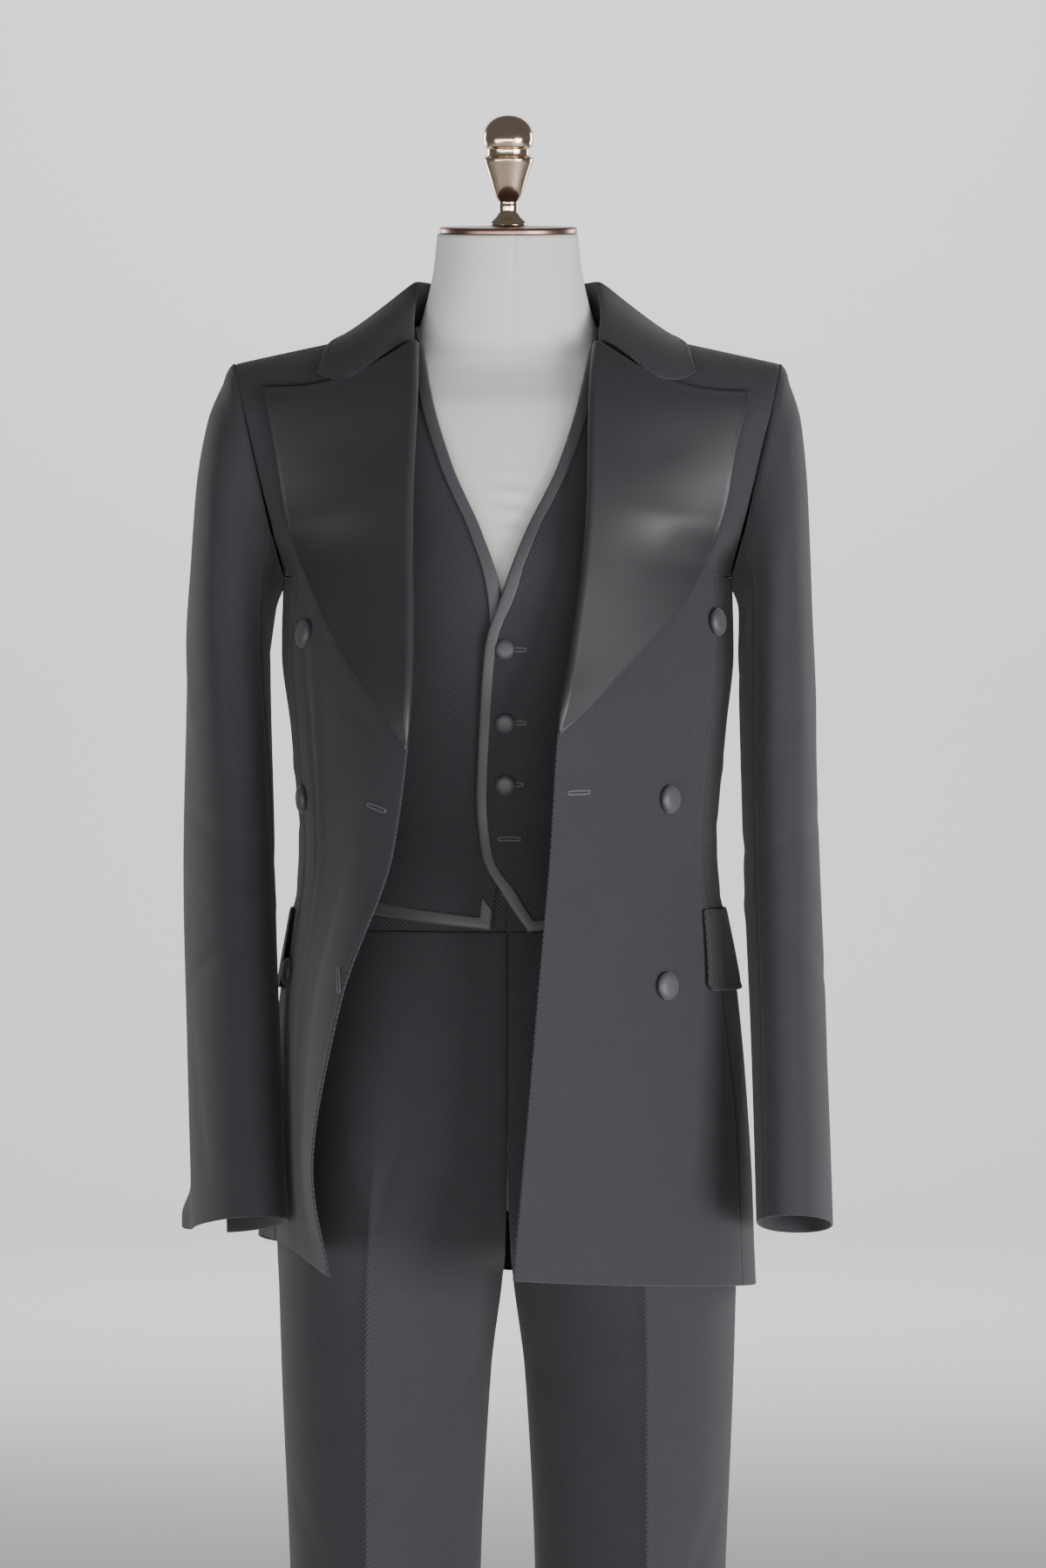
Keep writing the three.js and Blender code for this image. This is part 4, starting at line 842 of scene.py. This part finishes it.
def tube(path, radius, sides=8):
    """The vertices and faces of a closed tube about a closed path."""
    path = np.asarray(path, float)
    tangent = unit(np.roll(path, -1, 0) - np.roll(path, 1, 0))
    normal = unit(np.cross(tangent, UP + 1e-3))
    across = np.cross(tangent, normal)
    angles = np.arange(sides) * 2 * np.pi / sides
    rings = (path[:, None] + radius * (normal[:, None] * np.cos(angles)[None, :, None]
                                       + across[:, None] * np.sin(angles)[None, :, None]))
    count = len(path)
    index = np.arange(count * sides).reshape(count, sides)
    nexts = np.roll(index, -1, 0)
    faces = np.stack([index, np.roll(index, -1, 1), np.roll(nexts, -1, 1), nexts], -1)
    return rings.reshape(-1, 3), faces.reshape(-1, 4).tolist()


def lathe(name, profile, material, centre, axis, segments, rounding, node):
    """A turned piece from [radius, height] points, its corners rounded, about any axis."""
    profile = np.array(profile, float)
    for _ in range(rounding):
        quarter = profile[:-1] * 0.75 + profile[1:] * 0.25
        three = profile[:-1] * 0.25 + profile[1:] * 0.75
        cut = np.stack([quarter, three], 1).reshape(-1, 2)
        profile = np.concatenate([profile[:1], cut[1:-1], profile[-1:]])
    profile[0, 0] = profile[-1, 0] = 0
    axis = unit(np.asarray(axis, float))
    side = unit(np.cross(axis, [0.3, 0.1, 1.0] if abs(axis[2]) < 0.9 else [1.0, 0, 0]))
    other = np.cross(axis, side)
    angles = np.arange(segments) * 2 * np.pi / segments
    body = profile[1:-1]
    rings = (np.asarray(centre) + body[:, None, 1:2] * axis
             + body[:, None, 0:1] * (np.cos(angles)[None, :, None] * side
                                     + np.sin(angles)[None, :, None] * other))
    low = np.asarray(centre) + profile[0, 1] * axis
    high = np.asarray(centre) + profile[-1, 1] * axis
    vertices, faces = capped_rings(rings, low, high)
    offset = vertices - centre
    uvs = np.stack([offset @ side, offset @ other], -1)
    new_object(name, vertices, faces, material, uvs, node)


# ---- the form and its stand ----------------------------------------------------------
def build_form():
    turns = np.arange(int(176 * COARSE)) / int(176 * COARSE)
    heights = np.linspace(FORM_BOTTOM, CAP_Z, int(220 * COARSE))
    turn, z = np.meshgrid(turns, heights)
    points = form_point(turn, z)
    along_u = np.roll(points, -1, 1) - np.roll(points, 1, 1)
    normals = -unit(np.cross(along_u, np.gradient(points, axis=0)))
    from_seam = (points[..., 0] - 0.012 * (z - 1200)) * np.where(np.abs(turn - 0.5) < 0.2, 1, 9)
    relief = -1.0 * bump(from_seam, 0, 1.5) + 0.4 * bump(np.abs(from_seam), 3.4, 1.8)
    tuck = bump(z, 1402, 22) * bump(from_seam, 0, 9)
    relief += tuck * 2.0 * np.sin(z * 0.42 + 0.1 * points[..., 0])
    points = points + normals * relief[..., None]
    neck = np.clip((z - 1560) / (CAP_Z - 1560), 0, 1)
    points[..., 2] += (points[..., 1] - CAP_Y) * math.tan(NECK_TILT) * neck
    vertices, faces = capped_rings(points, points[0].mean(0), points[-1].mean(0), True)
    girth = np.stack([turn * FORM_GIRTH, z], -1).reshape(-1, 2)
    uvs = np.concatenate([girth, [[0, 0], [0, 0]]])
    new_object("form_cover", vertices, faces, linen, uvs, "form_torso")


def build_top_and_stand():
    tilt = np.array([0, -math.sin(NECK_TILT), math.cos(NECK_TILT)])
    neck = np.array([0.5, CAP_Y, CAP_Z + 0.3])
    lathe("cap", [[0, 0], [50, 0], [51, 0.4], [51.1, 1], [51.1, 3.4], [50.4, 4.4], [49.5, 4.7],
                  [0, 4.7]], copper, neck, tilt, 128, 2, "neck_cap")
    lathe("finial_turned", [
        [0, 0], [13, 0], [13.4, 1], [13.4, 2.4], [12.2, 4.4], [8.4, 7.6], [7, 11], [7.4, 15],
        [7, 18], [8.3, 20.5], [9.8, 23], [12.4, 30], [15, 38], [17.4, 45], [18.9, 49],
        [18.6, 50.6], [16, 51.6], [15.7, 53], [15.7, 56.6], [16.2, 57.6], [17.4, 58.4],
        [18.5, 61.5], [18.9, 64.5], [18.3, 69], [16.6, 73.6], [12.6, 78.2], [6.5, 81.2], [0, 82]],
        brass, neck + tilt * 5.0, tilt, 96, 2, "finial")
    lathe("base_disc", [[0, 0], [203, 0], [205, 1], [205, 8], [203.6, 11], [200, 12], [0, 12]],
          steel, [0, 0, 0], UP, 160, 2, "base_plate")
    pole_top = FORM_BOTTOM - 6.6
    lathe("pole_tube", [[0, 12.3], [26, 12.3], [26, 19], [24, 20.5], [15, 23.5], [14, 28],
                        [14, pole_top - 1], [13.4, pole_top], [0, pole_top]],
          steel, [*POLE_SPOT, 0], UP, 64, 1, "pole")
    lathe("hip_disc", [[0, 0], [44, 0], [46, 1.6], [46, 6], [0, 6]], steel,
          [*POLE_SPOT, FORM_BOTTOM - 6.3], UP, 96, 1, "hip_plate")


# ---- the jacket ----------------------------------------------------------------------
def build_body(side, columns, hand):
    body = body_of(columns, hand)
    lapel = {"left": LEFT_LAPEL, "right": RIGHT_LAPEL}[side]
    high = SHOULDER_ROW - 0.004
    turn = [(UNDERARM_ROW + UNDERARM_TURN * f) / high for f in (0, 0.2, 0.4, 0.6, 0.8, 1)]
    rows = np.array(sorted(set(steps(120, 760)) | set(turn)))

    def front(u, v):
        row = v * high
        return body(lerp(1 + front_cut(columns, row) + BODY_HAIR, 2, u), row)

    grid = Grid(front, steps(64, 230), rows, -hand)
    grid.seam(grid.from_left)
    grid.seam(grid.to_high, 0.5, 2.0)
    row = grid.v * SHOULDER_ROW
    below = 1 - smooth(3.9, 4.3, row)
    grid.relief += 0.35 * bump(grid.to_right, 1.6, 1.6) * below
    grid.stitches(grid.to_right + 40 * (1 - below), grid.from_low, 6.0, 4.5, 0.18)
    grid.stitches(grid.from_low, grid.from_left, 24.0, 6.0, 0.14)
    if side == "left":
        grid.fold((0.02, 0.44), (0.52, 0.4), 0.9, 7)
        grid.fold((0.0, 0.5), (0.3, 0.47), -1.2, 8)
        grid.fold((0.27, 0.18), (0.2, 0.56), -1.0, 1.5)
        grid.fold((0.24, 0.2), (0.17, 0.52), 0.7, 5)
        grid.fold((0.1, 0.36), (0.85, 0.345), -0.8, 12)
        grid.fold((0.5, 0.02), (0.62, 0.32), 1.0, 18)
        grid.fold((0.05, 0.6), (0.3, 0.72), -1.1, 9)
        grid.fold((0.03, 0.7), (0.28, 0.85), -0.7, 8)
        grid.drape(60, 0.35, 1.0)
    else:
        grid.fold((0.2, 0.5), (0.42, 0.2), 2.2, 11, 6)
        grid.fold((0.12, 0.48), (0.34, 0.2), -1.6, 9, 6)
        grid.fold((0.42, 0.2), (0.5, 0.01), 1.6, 14)
        grid.fold((0.95, 0.34), (0.45, 0.42), -1.3, 9)
        grid.fold((0.9, 0.3), (0.4, 0.3), 1.0, 9)
        grid.fold((0.0, 0.52), (0.45, 0.44), -1.2, 8)
        grid.fold((0.7, 0.02), (0.62, 0.3), -1.4, 16)
        grid.fold((0.05, 0.62), (0.3, 0.74), -1.1, 9)
        grid.fold((0.25, 0.2), (0.2, 0.5), -0.4, 1.6)
        grid.drape(55, 0.4, 2.0)
    build(f"jacket_front_{side}", grid)

    def flank(u, v):
        row = v * (UNDERARM_ROW - 0.002)
        return body(lerp(SIDE_BACK + BODY_HAIR, 1 + front_cut(columns, row) - BODY_HAIR, u), row)

    grid = Grid(flank, steps(34, 90), steps(90, 540), -hand)
    grid.seams(0.4)
    grid.fold((0.05, 0.56), (0.95, 0.5), -1.2, 8)
    grid.fold((0.1, 0.62), (0.95, 0.6), 0.9, 7)
    grid.fold((0.2, 0.46), (0.95, 0.42), -1.0, 8)
    grid.fold((0.4, 0.03), (0.55, 0.34), 1.1, 14)
    grid.stitches(grid.from_low, grid.from_left, 24.0, 6.0, 0.14)
    grid.drape(50, 0.3, 3.0 + hand)
    build(f"jacket_side_{side}", grid)

    def rear(u, v):
        row = v * high
        return body(lerp(0.0002, back_cut(row) - BODY_HAIR, u), row)

    grid = Grid(rear, steps(56, 190), rows, -hand)
    grid.seams()
    grid.fold((0.05, 0.46), (0.98, 0.5), -1.3, 9)
    grid.fold((0.05, 0.42), (0.9, 0.43), 1.0, 9)
    grid.fold((0.05, 0.37), (0.95, 0.36), -1.0, 8)
    grid.fold((0.98, 0.6), (0.55, 0.78), -1.5, 10)
    grid.fold((0.98, 0.56), (0.5, 0.66), 1.2, 11)
    grid.fold((0.5, 0.02), (0.55, 0.33), 1.6, 20)
    grid.fold((0.3, 0.92), (0.7, 0.86), -0.8, 12)
    grid.stitches(grid.from_low, grid.from_left, 24.0, 6.0, 0.14)
    grid.drape(60, 0.4, 4.0 + hand)
    build(f"jacket_back_{side}", grid)

    us = np.concatenate([np.linspace(-1, -0.08, int(12 * COARSE) + 2), steps(54, 110)])
    grid = Grid(lapel_surface(lapel, body, hand, LAPEL_EASE[side]), us, steps(110, 330), hand)
    grid.relief += 0.35 * bump(np.minimum(grid.to_right, grid.to_high), 1.5, 1.6)
    grid.fold((0.3, 0.5), (0.75, 0.62), 0.8, 16)
    grid.fold((0.2, 0.75), (0.7, 0.9), -0.7, 18)
    build(f"lapel_{side}", grid, SATIN, satin)
    return body


def build_collar(bodies):
    def surface(u, v):
        f = np.abs(u - 0.5) * 2
        right = collar_half(bodies[-1], -1, f, v)
        left = collar_half(bodies[1], 1, f, v)
        return np.where((u < 0.5)[..., None], right, left)

    grid = Grid(surface, steps(150, 440), steps(46, 95), 1, [(14, 0), (4, 1)], True)
    grid.relief += 0.3 * bump(grid.to_high, 1.5, 1.5)
    grid.stitches(grid.to_high, grid.from_left, 5.0, 4.5, 0.16)
    build("collar", grid)


def build_sleeve(side, rings, hand):
    sleeve = sleeve_of(rings, hand)

    def upper(u, v):
        return sleeve(lerp(BACK_SEAM - 1 + SLEEVE_HAIR, FRONT_SEAM - SLEEVE_HAIR, u), v)

    grid = Grid(upper, steps(80, 230), steps(115, 570), -hand, along_edges=True)
    grid.seams(0.9)
    grid.relief += (1.3 * bump(grid.to_high, 7, 6) * smooth(0.15, 0.35, grid.u)
                    * (1 - smooth(0.85, 1.0, grid.u)))
    grid.fold((0.95, 0.5), (0.45, 0.56), -1.8, 8)
    grid.fold((0.98, 0.44), (0.5, 0.45), 1.3, 8)
    grid.fold((0.9, 0.4), (0.4, 0.35), -1.3, 9)
    grid.fold((0.35, 0.86), (0.6, 0.6), 1.0, 14)
    grid.fold((0.75, 0.9), (0.85, 0.55), -1.6, 10)
    grid.fold((0.5, 0.04), (0.42, 0.34), -1.0, 14)
    grid.fold((0.15, 0.9), (0.1, 0.6), -1.4, 10)
    grid.drape(48, 0.45, 5.0 + hand)
    grid.stitches(grid.from_low, grid.from_left, 4.0, 4.5, 0.12)
    if side == "right":
        opened = (1 - smooth(0.0, 0.3, grid.u)) * (1 - smooth(0.015, 0.105, grid.v))
        grid.move(vec(-27 * opened, 16 * opened, 4 * opened))
    build(f"sleeve_upper_{side}", grid)

    def under(u, v):
        return sleeve(lerp(FRONT_SEAM + SLEEVE_HAIR, BACK_SEAM - SLEEVE_HAIR, u), v)

    grid = Grid(under, steps(42, 124), steps(105, 530), -hand, along_edges=True)
    grid.seams()
    grid.fold((0.05, 0.5), (0.9, 0.56), -1.6, 8)
    grid.fold((0.05, 0.45), (0.9, 0.46), 1.2, 8)
    grid.fold((0.1, 0.86), (0.8, 0.7), -1.4, 9)
    grid.drape(48, 0.4, 7.0 + hand)
    build(f"sleeve_under_{side}", grid)


def build_flap(side, body, hand, front):
    def surface(u, v):
        low = (1 - v) * 2
        corner = np.maximum(np.abs(u - 0.5) * 2 - 0.9, 0) / 0.1
        rounded = 0.10 * corner**2 * np.clip(low - 0.9, 0, 1)
        row = lerp(2.02 + 0.03 * u, 2.58, np.maximum(v, rounded))
        return seat(body, hand, lerp(0.72, front - 0.04 * v, u), row,
                    CLOTH + LAID_GAP + 1.8 - 1.2 * v)

    grid = Grid(surface, steps(90, 150), steps(44, 56), -hand)
    edge = np.minimum(np.minimum(grid.from_low, grid.from_left), grid.to_right)
    grid.relief += 0.45 * bump(edge, 1.5, 1.5) - 0.2 * bump(edge, 5, 1.0)
    grid.seam(grid.to_high, 0.4, 2.2)
    build(f"pocket_flap_{side}", grid)


def build_button(node, size, away):
    """A covered button where its solid sits: a domed cap gathered over a rim."""
    low, high = (np.array(corner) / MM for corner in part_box(node))
    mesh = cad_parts[node].data
    spots = np.array([vertex.co for vertex in mesh.vertices]) / MM
    middle = (low + high) / 2
    axis = np.linalg.svd(spots - spots.mean(0))[2][2]
    axis = axis * (1 if axis @ (middle - np.asarray(away)) > 0 else -1)
    depths = (spots - spots.mean(0)) @ axis
    foot = spots.mean(0) + axis * depths.min()
    r, t = size
    lathe(f"{node}_cover", [
        [0, 0], [r * 0.8, 0], [r * 0.86, t * 0.06], [r * 0.98, t * 0.26], [r, t * 0.4],
        [r * 0.985, t * 0.55], [r * 0.9, t * 0.74], [r * 0.7, t * 0.9], [r * 0.4, t * 0.98],
        [0, t]], button_satin, foot, axis, 48, 2, node)


def build_buttonhole(name, point, normal, direction, length=19.0):
    """Worked thread around a slit, an eyelet at its outer end."""
    along = unit(np.asarray(direction) - normal * (np.asarray(direction) @ normal))
    across = np.cross(normal, along)
    angles = np.linspace(0, 2 * np.pi, 64, endpoint=False)
    x = np.cos(angles)
    y = np.sin(angles)
    eyelet = 1 + 0.7 * smooth(0.7, 1.0, x)
    path = (point + normal * (CLOTH / 2 + 0.35)
            + along * (np.sign(x) * np.abs(x) ** 0.35 * length / 2)[:, None]
            + across * (np.sign(y) * np.abs(y) ** 0.6 * 1.25 * eyelet)[:, None])
    vertices, faces = tube(path, 0.7)
    uvs = np.stack([vertices @ along, vertices @ across], -1)
    new_object(name, vertices, faces, thread, uvs)


def build_jacket():
    left = build_body("left", LEFT_BODY, 1)
    right = build_body("right", RIGHT_BODY, -1)
    build_collar({1: left, -1: right})
    build_sleeve("left", LEFT_SLEEVE, 1)
    build_sleeve("right", RIGHT_SLEEVE, -1)
    build_flap("left", left, 1, 1.34)
    build_flap("right", right, -1, 1.1)
    for side in ("left", "right"):
        for place_name in ("top", "waist", "lower"):
            build_button(f"jacket_button_{side}_{place_name}", JACKET_BUTTON, (0, 60, 1180))
        rings = {"left": LEFT_SLEEVE, "right": RIGHT_SLEEVE}[side](0.09)
        hand = 1 if side == "left" else -1
        middle = (hand * float(rings["x"]), float(rings["y"]), float(rings["z"]))
        for number in (1, 2, 3):
            build_button(f"cuff_button_{side}_{number}", CUFF_BUTTON, middle)
    holes = [("hole_left", left, 1, 50.4, 1192, (1, 0, 0.02)),
             ("hole_right_upper", right, -1, -91, 1181, (1, 0, -0.32)),
             ("hole_right_lower", right, -1, -116.7, 1060.4, (0.55, 0, -0.83))]
    for name, body, hand, x, z, direction in holes:
        around, row = seen_from_front(body, 1.85, 3.5, x, z)
        point, normal = place(body, around, row)
        build_buttonhole(name, point, -hand * normal, direction)


# ---- the waistcoat and trousers ------------------------------------------------------
def binding_of(surface, outward, top_row, corner):
    """corner is the share of its length that lies on the front's edge; the rest is on the hem."""
    has_hem = corner < 1
    low_row = 0 if has_hem else 5.0

    def span(u0, v0, u1, v1):
        return np.linalg.norm(surface(u1, v1) - surface(u0, v0), axis=-1)

    def band(along, across):
        on_edge = (along < corner) | (not has_hem)
        f = np.where(on_edge, along / corner, (along - corner) / max(1 - corner, 1e-9))
        edge_row = np.where(on_edge, lerp(top_row, low_row, f) / WAISTCOAT_ROWS, 0)
        hem_u = np.where(on_edge, 0, f * 0.985)
        wide = across * BINDING_WIDTH
        zero = 0 * f
        inset_u = wide / (span(zero, edge_row, zero + 0.1, edge_row) * 10)
        inset_v = wide / (span(hem_u, zero, hem_u, zero + 0.06) / 0.06) if has_hem else 0
        u = inset_u + (1 - inset_u) * hem_u
        v = inset_v + (1 - inset_v) * edge_row
        point, normal = place(surface, u, v)
        lift = CLOTH / 2 + LAID_GAP + BINDING / 2 + 0.35
        rounded = 0.2 * np.sin(np.pi * across) - 0.4 * (1 - across) ** 8
        return point + normal * (outward * (lift + rounded))[..., None]
    return band


def seen_on_waistcoat(surface, x, row):
    """The share across the front at which this row passes x."""
    shares = np.linspace(0, 0.6, 200)
    points = surface(shares, np.full_like(shares, row / WAISTCOAT_ROWS))
    return np.array(np.interp(x, points[:, 0], shares)), np.array(row / WAISTCOAT_ROWS)


def build_waistcoat():
    surfaces = {}
    for side, outline, hand, lift in (("left", LEFT_WAISTCOAT, 1, OVERLAP_LIFT),
                                      ("right", RIGHT_WAISTCOAT, -1, 0)):
        surface = waistcoat_surface(outline, hand, False, lift)
        surfaces[side] = surface
        grid = Grid(lambda u, v: surface(u * 0.9985, v * 0.9995), steps(60, 170), steps(110, 440),
                    hand)
        grid.seam(grid.to_right)
        grid.seam(grid.to_high, 0.4, 2.0)
        grid.fold((0.62, 0.02), (0.55, 0.44), -0.55, 1.7)
        grid.fold((0.6, 0.05), (0.5, 0.44), 0.4, 6)
        grid.fold((0.15, 0.3), (0.75, 0.36), -0.8, 7)
        grid.fold((0.1, 0.42), (0.6, 0.5), -0.7, 8)
        grid.fold((0.15, 0.22), (0.8, 0.2), 0.7, 8)
        grid.drape(45, 0.25, 9.0 + hand)
        build(f"waistcoat_front_{side}", grid)
    for name, side, top_row, corner, count in (
            ("waistcoat_binding_left", "left", 9.98, 0.76, 300),
            ("waistcoat_binding_neck_right", "right", 9.98, 1, 120),
            ("waistcoat_binding_hem_right", "right", 0.7, 0.14, 120)):
        surface = surfaces[side]
        outward = 1 if side == "left" else -1
        band = binding_of(surface, outward, top_row, corner)
        grid = Grid(band, steps(count, 500), np.linspace(0, 1, 10), -1)
        if grid.normals[..., 1].mean() > 0:
            grid = Grid(band, steps(count, 500), np.linspace(0, 1, 10), 1)
        build(name, grid, BINDING, binding_satin)
    back = waistcoat_surface(WAISTCOAT_BACK, 1, True, 0)

    def rear(u, v):
        point = back(np.abs(u - 0.5) * 2 * 0.9985, v * 0.9995)
        point[..., 0] *= np.where(u < 0.5, -1, 1)
        return point

    grid = Grid(rear, steps(110, 300, gather=(0.5,)), steps(110, 420), -1)
    grid.seam(np.abs(grid.points[..., 0]))
    grid.seam(grid.from_left)
    grid.seam(grid.to_right)
    for mirror in (0, 1):
        share = (lambda f: 1 - f) if mirror else (lambda f: f)
        grid.fold((share(0.05), 0.35), (share(0.45), 0.3), -1.0, 8)
        grid.fold((share(0.28), 0.02), (share(0.3), 0.45), -0.5, 1.8)
    grid.drape(50, 0.3, 12.0)
    build("waistcoat_back", grid)
    for number in (1, 2, 3):
        build_button(f"waistcoat_button_{number}", WAISTCOAT_BUTTON, (0, 60, 1250))
    for number, row in enumerate((5.0, 4.09, 3.2, 2.28)):
        around, height = seen_on_waistcoat(surfaces["left"], (5.5, 5.5, 3.5, 1.5)[number], row)
        point, normal = place(surfaces["left"], around, height)
        build_buttonhole(f"waistcoat_hole_{number + 1}", point, normal, (1, 0, 0), 16.0)


def build_trousers():
    for side, hand in (("left", 1), ("right", -1)):
        for name, rear in (("front", False), ("back", True)):
            surface = trouser_of(hand, rear)

            def panel(u, v):
                return surface(lerp(0.0006, 0.9975, u), lerp(TROUSER_HEM, WAIST_SEAM, v))

            grid = Grid(panel, steps(66, 230, gather=(0.5,)), steps(150, 1050),
                        hand if rear else -hand)
            grid.seams(0.6, 2.2)
            crease = np.abs(grid.u - 0.5) * grid.from_left[:, -1:]
            firm = 1 - smooth(0.815, 0.85, grid.v)
            grid.relief += 1.1 * np.exp(-np.abs(crease / 2.2)) * firm
            grid.stitches(grid.from_low, grid.from_left, 40.0, 6.0, 0.14)
            grid.fold((0.1, 0.62), (0.45, 0.5), -1.0, 12)
            grid.fold((0.9, 0.7), (0.55, 0.62), -1.3, 10)
            grid.fold((0.98, 0.76), (0.6, 0.86), -1.5, 9)
            grid.fold((0.95, 0.8), (0.55, 0.92), 1.1, 9)
            grid.fold((0.1, 0.5), (0.42, 0.46), 1.2, 14)
            grid.fold((0.85, 0.12), (0.6, 0.3), -1.2, 14)
            grid.fold((0.15, 0.1), (0.4, 0.24), 1.0, 14)
            if rear:
                grid.fold((0.55, 0.8), (0.5, 0.96), -0.5, 1.7)
                grid.fold((0.9, 0.74), (0.3, 0.78), -1.6, 11)
            else:
                grid.fold((0.5, 0.80), (0.40, 0.875), 1.3, 6)
                grid.fold((0.52, 0.80), (0.60, 0.87), -1.2, 6)
                grid.fold((0.5, 0.70), (0.5, 0.86), 0.7, 5)
            if side == "right" and not rear:
                x = grid.points[..., 0]
                grid.relief += 1.3 * smooth(-9.6, -8.2, x) * smooth(0.75, 0.78, grid.v)
                grid.stitches(x + 35 + 30 * smooth(0.8, 0.75, grid.v), grid.from_low, 0, 3, 0.2)
            grid.drape(60, 0.45, 14.0 + hand + rear)
            build(f"trouser_{name}_{side}", grid)

    def band(u, v):
        return on_form(lerp(-0.4996, 0.4996, u), lerp(WAIST_SEAM + 0.2, WAIST_TOP, v),
                       lerp(3.6, 3.2, v))

    grid = Grid(band, steps(220, 760), steps(16, 41), -1)
    grid.seam(grid.from_low, 0.5, 1.8)
    grid.relief += 0.3 * bump(grid.to_high, 1.5, 1.5)
    build("waistband", grid, material=band_wool)


build_form()
build_top_and_stand()
build_jacket()
build_waistcoat()
build_trousers()


# ---- floor, light and camera ---------------------------------------------------------
def build_studio():
    """A pale floor that curves up into a pale wall behind."""
    profile = [(-14.0, 0.0), (9.0, 0.0)]
    profile += [(9.0 + 1.5 * math.sin(a), 1.5 - 1.5 * math.cos(a))
                for a in np.linspace(0.1, math.pi / 2, 14)]
    profile.append((10.5, 9.0))
    points = [(x, y, z) for y, z in profile for x in (-14.0, 14.0)]
    faces = [(2 * i, 2 * i + 1, 2 * i + 3, 2 * i + 2) for i in range(len(profile) - 1)]
    mesh = bpy.data.meshes.new("studio")
    mesh.from_pydata(points, [], faces)
    mesh.shade_smooth()
    pale, _, shader = node_tree("studio_pale")
    shader.inputs["Base Color"].default_value = (0.62, 0.62, 0.62, 1)
    shader.inputs["Roughness"].default_value = 0.9
    mesh.materials.append(pale)
    floor = bpy.data.objects.new("studio", mesh)
    bpy.context.scene.collection.objects.link(floor)


def add_softbox(name, place_at, aim, size, power):
    light = bpy.data.lights.new(name, "AREA")
    light.shape = "RECTANGLE"
    light.size, light.size_y = size
    light.energy = power
    box = bpy.data.objects.new(name, light)
    box.location = place_at
    direction = np.array(aim, float) - np.array(place_at, float)
    box.rotation_euler = (math.atan2(math.hypot(direction[0], direction[1]), -direction[2]), 0,
                          math.atan2(direction[1], direction[0]) - math.pi / 2)
    bpy.context.scene.collection.objects.link(box)


build_studio()
add_softbox("softbox_right", (2.5, -2.3, 0.75), (0.0, 0.0, 1.0), (1.8, 1.3), 118)
add_softbox("softbox_left", (-2.4, -2.3, 0.4), (0.0, 0.0, 1.0), (2.2, 1.6), 46)
add_softbox("softbox_front", (0.0, -4.6, 0.35), (0.0, 0.0, 1.0), (4.5, 0.7), 110)
add_softbox("softbox_backdrop", (0.0, 5.5, 4.5), (0.0, 10.2, 2.0), (7.0, 1.5), 700)
add_softbox("softbox_rear_left", (-2.6, 2.8, 1.8), (0.0, 0.0, 1.0), (1.2, 1.8), 50)
add_softbox("softbox_rear_right", (2.8, 2.6, 1.8), (0.0, 0.0, 1.0), (1.2, 1.8), 50)

world = bpy.data.worlds.new("studio_air")
world.use_nodes = True
world.node_tree.nodes["Background"].inputs[0].default_value = (0.8, 0.82, 0.85, 1)
world.node_tree.nodes["Background"].inputs[1].default_value = 0.16
bpy.context.scene.world = world

camera = bpy.data.cameras.new("camera")
camera.lens = 107.75
camera.sensor_width = 36
view = bpy.data.objects.new("camera", camera)
view.location = (0.0114, -3.5, 1.198)
view.rotation_euler = (math.pi / 2, 0, 0)
bpy.context.scene.collection.objects.link(view)
bpy.context.scene.camera = view
